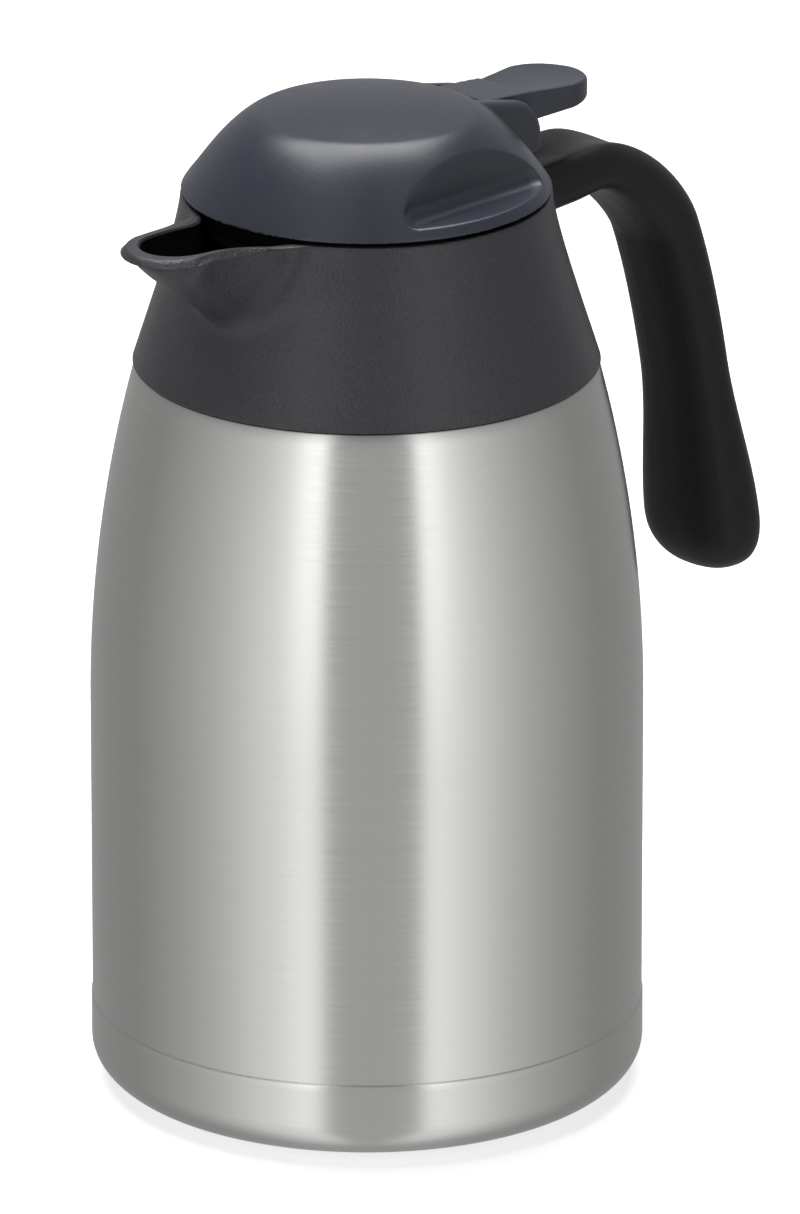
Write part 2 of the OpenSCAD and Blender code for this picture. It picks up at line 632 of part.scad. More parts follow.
module valve_disc() color(white) difference() {
    union() {
        translate([0, 0, disc_z]) cylinder(r = disc_r, h = disc_t);
        translate([0, 0, disc_z]) cylinder(r = stem_r + 2.2, h = hub_top - disc_z);
        translate([0, 0, disc_z - 1]) cylinder(r = seat_r - 1.7, h = 2);
    }
    translate([0, 0, disc_z + 1]) cylinder(r = stem_r + run_gap, h = cut_far);
}

fork_z = pivot_z - 0.8;           // height of the lever's fork pins
fork_pin_r = 1.6;
groove_half = fork_pin_r + 0.45;
cap_flange_r = stem_r + 3.4;
cap_low = fork_z - groove_half - 1.3;
cap_top = fork_z + groove_half + 1.3;

module valve_stem() color(steel) translate([0, 0, disc_z + 1])
    cylinder(r = stem_r, h = cap_top - 1 - disc_z - 1);

module stem_cap() color(white) difference() {
    turned([[0, cap_low], [cap_flange_r, cap_low], [cap_flange_r, fork_z - groove_half],
        [stem_r + 1.2, fork_z - groove_half], [stem_r + 1.2, fork_z + groove_half],
        [cap_flange_r, fork_z + groove_half], [cap_flange_r, cap_top], [0, cap_top]]);
    translate([0, 0, cap_low - 1]) cylinder(r = stem_r + run_gap, h = cap_top - cap_low);
}

module stem_seal() color(silicone)
    tube(stem_r + run_gap, seal_pocket_r - fit_gap, base_low, base_low + seal_pocket_h - 0.2);

washer_t = 0.8;
module spring_washer() color(steel)
    tube(stem_r + 0.5, spring_r + 2, base_low - washer_t, base_low);

// Coil spring as one unbroken tube, closed down at both ends
spring_z0 = disc_z + disc_t + wire_r;
spring_z1 = base_low - washer_t - wire_r;
coil_steps = 14;
flat_turns = 0.7;
// Share of the climb reached at turn t: none over the first and last part of a turn
function climb(t) = max(0, min(1, (t - flat_turns) / (spring_turns - 2 * flat_turns)));
function wire_ring(t) = [for (k = [0:5]) let (b = -60 * k, r = spring_r + wire_r * cos(b),
    z = mix(spring_z0, spring_z1, climb(t)) + wire_r * sin(b)) [r * cos(360 * t), r * sin(360 * t), z]];
module valve_spring() color(steel)
    loft([for (i = [0:spring_turns * coil_steps]) wire_ring(i / coil_steps)]);

// ---------- lever ----------

// Rings of the tail, across the X axis: rounded rectangles
tail_rise = 13.2;
tail_t = 7.1;
tail_top = dome_z + tail_rise;
tail_low = tail_top - tail_t;
tail_root = 6;       // the tail starts this far behind the pivot
tail_round_x = tail_x - tail_half_w;
tail_dish = 0.6;
function tail_ring(x, w, top, low, n = 28) = [for (i = [0:n - 1])
    let (a = 360 * i / n, mid = (top + low) / 2, h = (top - low) / 2, y = w * spow(cos(a), 0.42),
        sag = sin(a) > 0 ? tail_dish * max(0, 1 - pow(y / (w * 0.85), 2)) : 0)
    [x, y, mid + h * spow(sin(a), 0.5) - sag]];
tail_sides = [for (i = [0:6]) let (x = mix(pivot_x + tail_root, tail_round_x, i / 6))
    [x, mix(lever_half_w, tail_half_w, ease(i / 6))]];
tail_nose = [for (i = [1:6]) let (a = 85 * i / 6)
    [tail_round_x + tail_half_w * sin(a), tail_half_w * cos(a)]];
function tail_rings() = [for (s = concat(tail_sides, tail_nose))
    let (t = (s[0] - pivot_x - tail_root) / (tail_x - pivot_x - tail_root))
    tail_ring(s[0], max(1.2, s[1]), tail_top - 0.5 * t * t, tail_low + 0.9 * t)];

arm_low = fork_z - 1.9;
arm_high = fork_z + 1.9;
fork_open_x = cap_flange_r + 3;

module lever_side() polygon([[pivot_x - lever_front, arm_low], [pivot_x - lever_front, tail_top + 2.2],
    [pivot_x, tail_top + 1.1], [pivot_x + 1.5 * tail_root, tail_top],
    [pivot_x + 1.5 * tail_root, tail_low], [pivot_x + cheek_back / 2.4, arm_low - 0.6], [pivot_x - 2, arm_low - 0.6]]);

module lever() color(dome_grey) difference() {
    union() {
        rotate([90, 0, 0]) translate([0, 0, -lever_half_w])
            linear_extrude(height = 2 * lever_half_w) lever_side();
        loft(tail_rings());
        // inner arm, which forks round the stem cap
        difference() {
            translate([-2.4, -lever_half_w, arm_low])
                cube([pivot_x, 2 * lever_half_w, arm_high - arm_low]);
            translate([-cut_far, -cap_flange_r - 0.5, arm_low - 1])
                cube([cut_far + fork_open_x, 2 * cap_flange_r + 1, cut_far]);
        }
        for (side = [-1, 1]) translate([0, side * (lever_half_w - 0.5), fork_z]) rotate([side * 90, 0, 0])
            cylinder(r = fork_pin_r, h = lever_half_w - 0.5 - stem_r - 1.2 - 0.4);
    }
    translate([pivot_x, cut_far, pivot_z]) rotate([90, 0, 0])
        cylinder(r = pin_r + run_gap, h = 2 * cut_far);
}

module lever_pin() color(steel) translate([pivot_x, cheek_out - 1.8, pivot_z]) rotate([90, 0, 0])
    cylinder(r = pin_r, h = 2 * (cheek_out - 1.8));

// ---------- the nodes ----------

outer_shell();
base_cup();
base_plate();
vacuum_seal();
inner_vessel();
heat_shield();
getter();
collar();
throat_ring();
mouth_gasket();
handle_shell();
handle_cover();
lid_dome();
lid_base();
lid_screws();
stopper_body();
stopper_seal();
stem_seal();
spring_washer();
valve_spring();
valve_stem();
stem_cap();
valve_disc();
valve_gasket();
lever();
lever_pin();
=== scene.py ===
# %% [markdown]
# # A thermal carafe with a lever lid
# The real object is a steel vacuum carafe: a brushed body, a moulded collar with a pouring
# spout, a handle with a free lower end, and a domed stopper lid with a thumb lever. The CAD
# frame fixes every size. Here each piece that shows gets a finer skin and a finish of its own,
# and the pieces that already have the right shape only get a finish.

# %% Load the frame
import math

import bmesh
import bpy
import numpy as np
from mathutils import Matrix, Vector
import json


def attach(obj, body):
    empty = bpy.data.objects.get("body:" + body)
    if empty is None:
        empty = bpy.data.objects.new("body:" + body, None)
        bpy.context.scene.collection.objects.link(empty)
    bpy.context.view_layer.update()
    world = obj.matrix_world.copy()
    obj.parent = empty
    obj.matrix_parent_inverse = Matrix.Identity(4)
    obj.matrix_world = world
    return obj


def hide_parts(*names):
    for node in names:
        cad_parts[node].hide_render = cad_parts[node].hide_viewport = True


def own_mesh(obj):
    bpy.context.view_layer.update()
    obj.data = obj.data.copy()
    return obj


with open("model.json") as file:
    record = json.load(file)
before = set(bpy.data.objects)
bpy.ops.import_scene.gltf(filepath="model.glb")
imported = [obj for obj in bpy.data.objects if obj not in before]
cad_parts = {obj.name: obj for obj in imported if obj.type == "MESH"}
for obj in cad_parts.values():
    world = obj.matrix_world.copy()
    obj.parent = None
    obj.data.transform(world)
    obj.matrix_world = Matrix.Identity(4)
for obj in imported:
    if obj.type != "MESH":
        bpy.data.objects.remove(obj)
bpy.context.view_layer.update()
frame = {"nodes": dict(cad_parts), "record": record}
MM = 0.001


def add_object(name, data):
    obj = bpy.data.objects.new(name, data)
    bpy.context.scene.collection.objects.link(obj)
    return obj


# %% [markdown]
# ## The camera
# The photograph is taken from the left of the spout, from a little above, through a long lens.
# The distance, height and pitch below were worked out from the ellipses of the rim and the foot,
# so the camera is placed from them instead of by eye.

# %% Camera
VIEW_TURN = math.radians(47)  # from the object's front to the camera, about Z
CAMERA_DISTANCE, CAMERA_HEIGHT = 3.1033, 1.2233
CAMERA_PITCH, CAMERA_YAW = 0.342222, 0.002552
LENS = 408.6


def from_view(right, forward, up=0.0):
    """A direction given as seen by the camera, turned into the object's frame."""
    c, s = math.cos(VIEW_TURN), math.sin(VIEW_TURN)
    return Vector((right * c + forward * s, -right * s + forward * c, up))


camera = add_object("camera", bpy.data.cameras.new("camera"))
camera.location = from_view(0, -CAMERA_DISTANCE, CAMERA_HEIGHT)
aim = from_view(
    math.sin(CAMERA_YAW) * math.cos(CAMERA_PITCH),
    math.cos(CAMERA_YAW) * math.cos(CAMERA_PITCH),
    -math.sin(CAMERA_PITCH),
)
camera.rotation_euler = aim.to_track_quat("-Z", "Y").to_euler()
camera.data.lens = LENS
camera.data.sensor_width = 36
camera.data.clip_end = 60
bpy.context.scene.camera = camera
bpy.context.scene.view_settings.view_transform = "Standard"
print("camera at", [round(v, 3) for v in camera.location])

# %% [markdown]
# ## The studio
# Brushed steel has almost no colour of its own: it shows the room. The photograph's room has a
# dim strip behind the camera, a bright softbox on each side of it, and light that falls off
# towards the back. A colour ramp over the compass direction paints that room in the world. Light
# Path then gives each kind of ray its share: the camera sees plain white, gloss sees the room in
# full, and dull surfaces get a part of its light.


# %% Node helpers
def new_node(tree, kind, inputs=(), **settings):
    """A node; each of its inputs is set to a value, or linked to another node's socket."""
    node = tree.nodes.new(kind)
    for key, value in settings.items():
        setattr(node, key, value)
    for key, value in dict(inputs).items():
        if isinstance(value, bpy.types.NodeSocket):
            tree.links.new(value, node.inputs[key])
        else:
            node.inputs[key].default_value = value
    return node


def maths(tree, operation, *values):
    """One step of arithmetic on sockets or plain numbers."""
    return new_node(tree, "ShaderNodeMath", enumerate(values), operation=operation).outputs[0]


def map_range(tree, value, old, new=(0.0, 1.0)):
    """Moves a value from its old range to a new one, and holds it inside."""
    return new_node(tree, "ShaderNodeMapRange", enumerate((value, *old, *new))).outputs[0]


# %% World
RAMP_TOP = 4.0  # a colour ramp holds 0 to 1, so light is kept in it as a share of this
GLOW_HEIGHTS, GLOW_GAIN = (-0.36, 0.1), (0.40, 1.6)
CEILING_HEIGHTS, CEILING_GAIN = (0.3, 0.75), (1.0, 0.4)
DULL_SHARE = 0.6  # how much of the room's light falls on dull surfaces, against what gloss shows


def compass_ramp(tree, direction, bands):
    """The room's light by compass direction: red is steady, green grows with height."""
    sides = [new_node(tree, "ShaderNodeVectorMath", {0: direction, 1: axis},
                      operation="DOT_PRODUCT").outputs["Value"]
             for axis in (from_view(1, 0), from_view(0, -1))]
    compass = map_range(tree, maths(tree, "ARCTAN2", *sides), (-math.pi, math.pi))
    ramp = new_node(tree, "ShaderNodeValToRGB", {0: compass})
    stops = ramp.color_ramp.elements
    while len(stops) > 1:
        stops.remove(stops[-1])
    for number, (angle, steady, glow) in enumerate(bands):
        spot = (angle + 180) / 360
        stop = stops[0] if number == 0 else stops.new(spot)
        stop.position = spot
        stop.color = (steady / RAMP_TOP, glow / RAMP_TOP, 0, 1)
    both = new_node(tree, "ShaderNodeSeparateColor", {0: ramp.outputs[0]}).outputs
    return both["Red"], both["Green"]


def studio_world(bands):
    """bands: (compass angle from the camera, steady light, light that grows with height)."""
    world = bpy.data.worlds.new("studio")
    world.use_nodes = True
    tree = world.node_tree
    tree.nodes.clear()
    direction = new_node(tree, "ShaderNodeTexCoord").outputs["Generated"]
    steady, glow = compass_ramp(tree, direction, bands)
    up = new_node(tree, "ShaderNodeSeparateXYZ", {0: direction}).outputs["Z"]
    # the softboxes hang above the table, so their bands are brighter the higher one looks
    gain = map_range(tree, up, GLOW_HEIGHTS, [RAMP_TOP * g for g in GLOW_GAIN])
    total = maths(tree, "MULTIPLY_ADD", steady, RAMP_TOP, maths(tree, "MULTIPLY", glow, gain))
    # and they end well below the ceiling, which stays dim
    dimmed = maths(tree, "MULTIPLY", total, map_range(tree, up, CEILING_HEIGHTS, CEILING_GAIN))
    ray = new_node(tree, "ShaderNodeLightPath").outputs
    share = map_range(tree, ray["Is Glossy Ray"], (0, 1), (DULL_SHARE, 1))
    light = maths(tree, "MULTIPLY", dimmed, share)
    room = new_node(tree, "ShaderNodeBackground", {"Strength": light})
    white = new_node(tree, "ShaderNodeBackground", {"Color": (1, 1, 1, 1)})
    sees_white = maths(tree, "MAXIMUM", ray["Is Camera Ray"], ray["Is Transmission Ray"])
    choose = new_node(tree, "ShaderNodeMixShader",
                      {0: sees_white, 1: room.outputs[0], 2: white.outputs[0]})
    new_node(tree, "ShaderNodeOutputWorld", {"Surface": choose.outputs[0]})
    bpy.context.scene.world = world


STUDIO_BANDS = [
    (-180, 0.54, 0), (-150, 0.44, 0), (-112, 0.41, 0), (-93, 0.54, 0), (-78, 0.67, 0),
    (-62, 0.88, 0), (-48, 1.16, 0), (-36, 1.16, 0.25), (-26, 1.02, 1.0), (-20, 0.86, 1.2),
    (-16.5, 0.66, 0), (21.5, 0.66, 0), (24.5, 0.86, 1.2), (31, 1.02, 0.8), (39, 1.16, 0.25),
    (49, 1.16, 0), (62, 0.88, 0), (78, 0.67, 0), (93, 0.54, 0), (112, 0.41, 0),
    (150, 0.44, 0), (180, 0.54, 0),
]
studio_world(STUDIO_BANDS)
print("studio with", len(STUDIO_BANDS), "bands")

# %% [markdown]
# ## Lamps and floor
# The world already gives most of the reflections, so the lamps only have to model the dull
# plastic, draw the bright band along the dome's shoulder, and cast a soft shadow. The floor is
# pale: camera rays see it lightened towards white, and the shadow stays because only a part of
# its light is added.


# %% Lamps
def softbox(name, right, forward, up, size, power):
    lamp = bpy.data.lights.new(name, "AREA")
    lamp.shape = "RECTANGLE"
    lamp.size, lamp.size_y = size
    lamp.energy = power
    obj = add_object(name, lamp)
    obj.location = from_view(right, forward, up)
    target = Vector((0, 0, 0.16))
    obj.rotation_euler = (target - obj.location).to_track_quat("-Z", "Y").to_euler()
    return obj


softbox("overhead", -0.1, 0.38, 1.6, (1.5, 1.05), 32)
for fill in (softbox("left_fill", -1.3, -1.1, 0.9, (0.7, 1.2), 2.5),
             softbox("right_fill", 1.1, -1.3, 0.9, (0.5, 1.2), 1.5)):
    fill.visible_glossy = False

# %% Floor
FLOOR_GREY, FLOOR_GLOW = 0.74, 0.6


def pale_floor(half_size):
    mesh = bpy.data.meshes.new("floor")
    s = half_size
    mesh.from_pydata([(-s, -s, 0), (s, -s, 0), (s, s, 0), (-s, s, 0)], [], [(0, 1, 2, 3)])
    obj = add_object("floor", mesh)
    mat = bpy.data.materials.new("floor_white")
    mat.use_nodes = True
    tree = mat.node_tree
    tree.nodes.clear()
    grey = (FLOOR_GREY, FLOOR_GREY, FLOOR_GREY, 1)
    dull = new_node(tree, "ShaderNodeBsdfDiffuse", {"Color": grey})
    seen = new_node(tree, "ShaderNodeLightPath").outputs["Is Camera Ray"]
    light = maths(tree, "MULTIPLY", seen, FLOOR_GLOW)
    glow = new_node(tree, "ShaderNodeEmission", {"Strength": light})
    both = new_node(tree, "ShaderNodeAddShader", {0: dull.outputs[0], 1: glow.outputs[0]})
    new_node(tree, "ShaderNodeOutputMaterial", {"Surface": both.outputs[0]})
    mesh.materials.append(mat)
    obj.visible_glossy = False


pale_floor(6.0)
print("floor laid")

# %% [markdown]
# ## Finishes
# Each finish is one small node tree that reads Object coordinates, in metres. The steel is
# brushed round the axis: noise squeezed along Z and stretched across gives lines that run round
# the body, and an anisotropic gloss smears what it mirrors along Z. The plastics are moulded
# with a fine grain, which is a bump of a tenth of a millimetre or less.

# %% Finish helpers
NOISE_SPREAD = (0.3, 0.7)  # nearly all of a noise's values lie between these


def finish_material(name, colour, roughness, metallic=0.0, **sockets):
    """A plain finish; other sockets of the shader are named with _ for the spaces."""
    mat = bpy.data.materials.new(name)
    mat.use_nodes = True
    shader = mat.node_tree.nodes["Principled BSDF"]
    shader.inputs["Base Color"].default_value = (*colour, 1)
    shader.inputs["Roughness"].default_value = roughness
    shader.inputs["Metallic"].default_value = metallic
    for key, value in sockets.items():
        shader.inputs[key.replace("_", " ")].default_value = value
    return mat, mat.node_tree, shader


def stretched_noise(tree, scale, detail, rough=0.6):
    """Noise on Object coordinates; scale is (x, y, z) in cycles per metre."""
    place = new_node(tree, "ShaderNodeTexCoord").outputs["Object"]
    stretch = new_node(tree, "ShaderNodeMapping", {"Vector": place, "Scale": scale})
    noise = new_node(tree, "ShaderNodeTexNoise", {
        "Vector": stretch.outputs["Vector"], "Scale": 1.0, "Detail": detail, "Roughness": rough})
    return noise.outputs["Fac"]


def add_bump(tree, shader, height, distance):
    bump = new_node(tree, "ShaderNodeBump",
                    {"Height": height, "Distance": distance, "Strength": 1.0})
    tree.links.new(bump.outputs["Normal"], shader.inputs["Normal"])


def vary(tree, fac, socket, low, high):
    """Lets a noise move a socket's number between low and high."""
    tree.links.new(map_range(tree, fac, NOISE_SPREAD, (low, high)), socket)


def vary_colour(tree, fac, socket, dark, light):
    colours = {"Factor": map_range(tree, fac, NOISE_SPREAD), "A": (*dark, 1), "B": (*light, 1)}
    blend = new_node(tree, "ShaderNodeMix", colours, data_type="RGBA")
    tree.links.new(blend.outputs["Result"], socket)


# %% Steel finishes
def brushed_steel(name, colour, roughness, lines, depth, spread):
    """lines: hair lines per metre of height; depth of a line in metres; spread of the smear."""
    mat, tree, shader = finish_material(name, colour, roughness, 1.0,
                                        Anisotropic=spread, Anisotropic_Rotation=0.25)
    turn = new_node(tree, "ShaderNodeTangent", direction_type="RADIAL", axis="Z")
    tree.links.new(turn.outputs[0], shader.inputs["Tangent"])
    hair = stretched_noise(tree, (16, 16, lines), detail=5.0, rough=0.7)
    add_bump(tree, shader, hair, depth)
    vary(tree, hair, shader.inputs["Roughness"], roughness - 0.03, roughness + 0.04)
    dark = tuple(c * 0.955 for c in colour)
    light = tuple(min(1, c * 1.03) for c in colour)
    vary_colour(tree, hair, shader.inputs["Base Color"], dark, light)
    return mat


FINISH = {
    "steel": brushed_steel("steel_brushed", (0.62, 0.62, 0.605), 0.29, 1500, 0.000004, 0.86),
    "liner_steel": brushed_steel("steel_satin", (0.58, 0.58, 0.57), 0.36, 1100, 0.000004, 0.5),
    "bare_steel": brushed_steel("steel_bright", (0.62, 0.62, 0.61), 0.22, 2200, 0.000002, 0.3),
    "foil": brushed_steel("foil_bright", (0.72, 0.45, 0.30), 0.25, 900, 0.000004, 0.3),
}


# %% Plastic and rubber finishes
def moulded_plastic(name, dark, light, roughness, grain, depth, **sockets):
    """grain: grains per metre; depth of the grain in metres."""
    mat, tree, shader = finish_material(name, light, roughness, **sockets)
    fine = stretched_noise(tree, (grain, grain, grain), detail=2.0)
    add_bump(tree, shader, fine, depth)
    vary_colour(tree, fine, shader.inputs["Base Color"], dark, light)
    broad = stretched_noise(tree, (140, 140, 140), detail=2.0)
    vary(tree, broad, shader.inputs["Roughness"], roughness - 0.02, roughness + 0.03)
    return mat


FINISH["collar_plastic"] = moulded_plastic(
    "plastic_collar", (0.024, 0.0235, 0.0285), (0.039, 0.038, 0.046), 0.36, 1500, 0.00016)
FINISH["handle_plastic"] = moulded_plastic(
    "plastic_handle", (0.0120, 0.0123, 0.0132), (0.017, 0.0175, 0.0190), 0.38, 2200, 0.00003,
    Specular_IOR_Level=0.15)
FINISH["lid_plastic"] = moulded_plastic(
    "plastic_lid", (0.024, 0.027, 0.040), (0.031, 0.035, 0.051), 0.32, 2600, 0.00003)
FINISH["inner_plastic"] = moulded_plastic(
    "plastic_inner", (0.008, 0.008, 0.0085), (0.011, 0.011, 0.0115), 0.42, 1800, 0.00002)
# near black and barely glossy: painted shade for the deep inside of the collar and the dome's
# underside, which are moulded from the same plastic as the rest
FINISH["matt_inside"] = moulded_plastic(
    "plastic_painted_shade", (0.002, 0.002, 0.002), (0.003, 0.003, 0.003), 0.6, 1800, 0.00002,
    Specular_IOR_Level=0.1)
FINISH["white_plastic"] = moulded_plastic(
    "plastic_white", (0.70, 0.70, 0.67), (0.76, 0.76, 0.73), 0.35, 1500, 0.00001)
FINISH["silicone"] = moulded_plastic(
    "silicone_seal", (0.50, 0.50, 0.47), (0.58, 0.58, 0.55), 0.55, 1200, 0.00001,
    Subsurface_Weight=0.15, Subsurface_Radius=(0.003, 0.003, 0.0025))
FINISH["getter"] = moulded_plastic(
    "getter_pellet", (0.16, 0.16, 0.17), (0.26, 0.26, 0.27), 0.8, 3000, 0.00006)
print("finishes:", sorted(FINISH))

# %% [markdown]
# ## Mesh helpers
# Most pieces are skins through rings of points: a profile turned round the axis, or sections
# set along a path. One function makes the faces of such a grid, and one turns points in
# millimetres into a clean object at the origin, with its normals facing out.


# %% Grids and objects
def grid_faces(rows, cols, wrap_rows, wrap_cols):
    faces = []
    for r in range(rows if wrap_rows else rows - 1):
        for c in range(cols if wrap_cols else cols - 1):
            r2, c2 = (r + 1) % rows, (c + 1) % cols
            faces.append((r * cols + c, r * cols + c2, r2 * cols + c2, r2 * cols + c))
    return faces


def mesh_object(name, points, faces, sharp=35.0):
    mesh = bpy.data.meshes.new(name)
    mesh.from_pydata((np.asarray(points, float) * MM).tolist(), [], faces)
    clean = bmesh.new()
    clean.from_mesh(mesh)
    bmesh.ops.remove_doubles(clean, verts=clean.verts, dist=2e-7)
    bmesh.ops.dissolve_degenerate(clean, edges=clean.edges, dist=1e-7)
    bmesh.ops.recalc_face_normals(clean, faces=clean.faces)
    clean.to_mesh(mesh)
    clean.free()
    smooth(mesh, sharp)
    return add_object(name, mesh)


def smooth(mesh, sharp):
    mesh.polygons.foreach_set("use_smooth", [True] * len(mesh.polygons))
    mesh.set_sharp_from_angle(angle=math.radians(sharp))


def turned(name, profile, sectors=240, sharp=35.0):
    """A closed profile of (radius, height) turned round Z."""
    a = np.linspace(0, 2 * math.pi, sectors, endpoint=False)
    points = [(r * math.cos(t), r * math.sin(t), z) for t in a for r, z in profile]
    return mesh_object(name, points, grid_faces(sectors, len(profile), True, True), sharp)


def loft(name, rings, sharp=35.0):
    """A closed skin through rings of points, with flat ends."""
    cols = len(rings[0])
    points = [p for ring in rings for p in ring]
    faces = grid_faces(len(rings), cols, False, True)
    faces.append(tuple(range(cols)))
    faces.append(tuple((len(rings) - 1) * cols + c for c in range(cols)))
    return mesh_object(name, points, faces, sharp)


def dress(obj, body, slot, *nodes):
    """Gives a finished piece its finish and its body, and hides the CAD nodes that it stands for.
    """
    obj.data.materials.clear()
    obj.data.materials.append(FINISH[slot])
    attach(obj, body)
    if nodes:
        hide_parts(*nodes)
    print(obj.name, len(obj.data.vertices), "points on", body)
    return obj


# %% Curves
def mix(a, b, t):
    return a + (b - a) * t


def ease(t):
    t = np.clip(t, 0, 1)
    return t * t * (3 - 2 * t)


def bezier(a, b, c, d, t):
    t = np.asarray(t, float)[:, None]
    u = 1 - t
    a, b, c, d = (np.asarray(p, float)[None, :] for p in (a, b, c, d))
    return u**3 * a + 3 * u * u * t * b + 3 * u * t * t * c + t**3 * d


def arc(centre, rx, rz, start, end, steps):
    return [
        (centre[0] + rx * math.cos(math.radians(a)), centre[1] + rz * math.sin(math.radians(a)))
        for a in np.linspace(start, end, steps + 1)
    ]


# %% [markdown]
# ## The steel body and its base cup
# The body is one deep-drawn sheet: straight up to 96 mm, then a long arc that leans in under
# the collar. The base is a second pressing, welded on and then brushed over, and only a hair
# line is left of the weld. Both are turned profiles. No sheet edge is sharp, so the cup's upper
# edge has a chamfer of 0.3 mm, which draws the seam as a thin line.

# %% Body sizes, in millimetres
BODY_R, SHOULDER_Z, SHOULDER_ARC = 66.25, 96.0, 325.0
COLLAR_Z, SEAM_Z, WALL = 180.0, 21.0, 0.7
RIM_Z, RIM_R = 222.3, 44.1
MOUTH_Z = RIM_Z - 21.3
NECK_IN, NECK_OUT = 34.8, 35.5
LEDGE_IN = 2.0  # the shell steps in under the collar's skin


def body_at(z, inset=0.0):
    c = SHOULDER_ARC - inset
    lean = c - math.sqrt(c * c - (z - SHOULDER_Z) ** 2) if z > SHOULDER_Z else 0.0
    return BODY_R - inset - lean


# %% Steel body
def body_profile():
    ledge = body_at(COLLAR_Z) - LEDGE_IN
    outside = [(BODY_R - 0.04, SEAM_Z), (BODY_R, SEAM_Z + 0.05)]
    outside += [(BODY_R, z) for z in np.linspace(24, SHOULDER_Z, 14)]
    outside += [(body_at(z), z) for z in np.linspace(SHOULDER_Z + 3, COLLAR_Z - 0.3, 28)]
    outside += [(body_at(COLLAR_Z) - 0.2, COLLAR_Z)]
    outside += arc((NECK_OUT, COLLAR_Z), ledge - NECK_OUT, 10, 0, 90, 14)
    outside += [(NECK_OUT, MOUTH_Z - 0.6), (NECK_IN, MOUTH_Z - 0.6)]
    inside = arc((NECK_IN, COLLAR_Z - WALL), ledge - WALL - NECK_IN, 10, 90, 0, 14)
    inside += [(body_at(z, WALL), z) for z in np.linspace(COLLAR_Z - 1.5, SEAM_Z, 24)]
    return outside + inside


dress(turned("steel_body", body_profile(), 288), "vessel", "steel", "outer_shell")


# %% Base cup
def base_profile():
    cup, foot, corner, dimple = 66.5, 53.0, 10.0, 5.0
    outside = [(1.5, dimple), (6, dimple), (6.6, 4.7), (7, 3),
               (44.7, 3), (45, 2.8), (45.6, 0.5), (46.3, 0), (foot - 1, 0)]
    outside += arc((foot, corner), cup - foot, corner, -90, 0, 22)
    outside += [(cup, z) for z in np.linspace(12, SEAM_Z - 0.55, 6)]
    outside += [(cup - 0.04, SEAM_Z - 0.42), (cup - 0.31, SEAM_Z - 0.06), (cup - 0.36, SEAM_Z)]
    outside += [(cup - WALL, SEAM_Z)]
    inside = arc((foot, corner), cup - foot - WALL, corner - WALL, 0, -90, 16)
    inside += [(46.7, 0.7), (45.4, 3.7), (7.7, 3.7), (7, 5.7), (1.5, 5.7)]
    return outside + inside


dress(turned("steel_base", base_profile(), 288), "vessel", "steel", "base_cup")

# %% [markdown]
# ## The collar and its spout
# The collar is a moulding, and its spout grows out of it without a seam: under the rim the
# flank of the spout runs into the round wall in a soft hollow, while the lip keeps a flat top, a
# sloping edge and a crisp crease under it. A boolean of a turned shape and a spout would leave a
# hard line just there. So the whole collar is one grid: for each direction round the axis, the
# wall's radius at each height is found, once for the round wall and once for the spout, and the
# larger of the two is taken, with a rounded change from one to the other.

# %% Spout sizes, in millimetres
BOWL_R = RIM_R - 2.3
FLOOR_Z = MOUTH_Z + 1.4
THROAT_Z = FLOOR_Z + 2.2
SPOUT_X, SPOUT_W, SPOUT_DROP, LIP_W = 78.34, 12.3, 23.2, 1.7
NOSE_X = mix(RIM_R, SPOUT_X, 0.657)
ROOT_X, KEEL_X, KEEL_TIP = RIM_R - 5, RIM_R + 2.4, SPOUT_X - 2.2
FLARE, ROOT_FILLET = 5.5, 1.8
EDGE_W, EDGE_H, CREASE_IN = 1.4, 1.5, 0.8
COLLAR_R = body_at(COLLAR_Z) + 0.45
CHANNEL_LOW = THROAT_Z + 0.6
SKIN, HOLLOW_R, HUB_OUT, HUB_IN, HUB_DEEP = 2.2, 44.0, 39.4, 37.4, 10.0
FOOT_Z, FOOT_ROUND = COLLAR_Z + 0.8, 0.45


def spout_width(x, inset):
    body = SPOUT_W - inset + FLARE * (np.maximum(0, NOSE_X - x) / (NOSE_X - ROOT_X)) ** 1.6
    body = body + ROOT_FILLET * (np.maximum(0, RIM_R + 0.7 - x) / (RIM_R + 0.7 - ROOT_X)) ** 2
    nose = (x - NOSE_X) / (SPOUT_X - NOSE_X - inset)
    tip = (SPOUT_W - inset) * np.sqrt(np.maximum(0, 1 - nose**2))
    return np.where(x < NOSE_X, body, tip)


def keel_low(x):
    share = np.maximum(0, KEEL_TIP - x) / (KEEL_TIP - KEEL_X)
    return RIM_Z - SPOUT_DROP * share**0.88


def lip_height(x):
    t = np.clip((x - RIM_R) / (SPOUT_X - RIM_R), 0, 1)
    dip = 0.3 * (1 - t) ** 2 * ease(t / 0.08)
    return RIM_Z - dip + 7.0 * t * (1 - t) + 1.8 * t * t


def edge_share(x):
    return 0.05 + 0.95 * ease((x - RIM_R - 2) / 12)


# %% Reach of the wall in each direction
def furthest(inside, turn):
    """For each direction, how far from the axis inside() stays positive, from the root out."""
    along, across = np.maximum(0.3, np.cos(turn)), np.abs(np.sin(turn))
    near = ROOT_X / along
    far = np.full(turn.shape, 84.0)
    start = np.where(np.cos(turn) < 0.5, -20.0, inside(ROOT_X + 0 * turn, near * across))
    missed = np.where(np.cos(turn) < 0.5, 0, near + 0.65 * start - 0.02 * start**2)
    for _ in range(34):
        middle = (near + far) / 2
        held = inside(middle * along, middle * across) >= 0
        near = np.where(held, middle, near)
        far = np.where(held, far, middle)
    return np.where(start >= 0, near, np.maximum(20, missed))


def outline(turn, inset):
    """Plan of the lip, moved in by inset(x)."""
    return furthest(lambda x, y: spout_width(x, inset(x)) - y, turn)


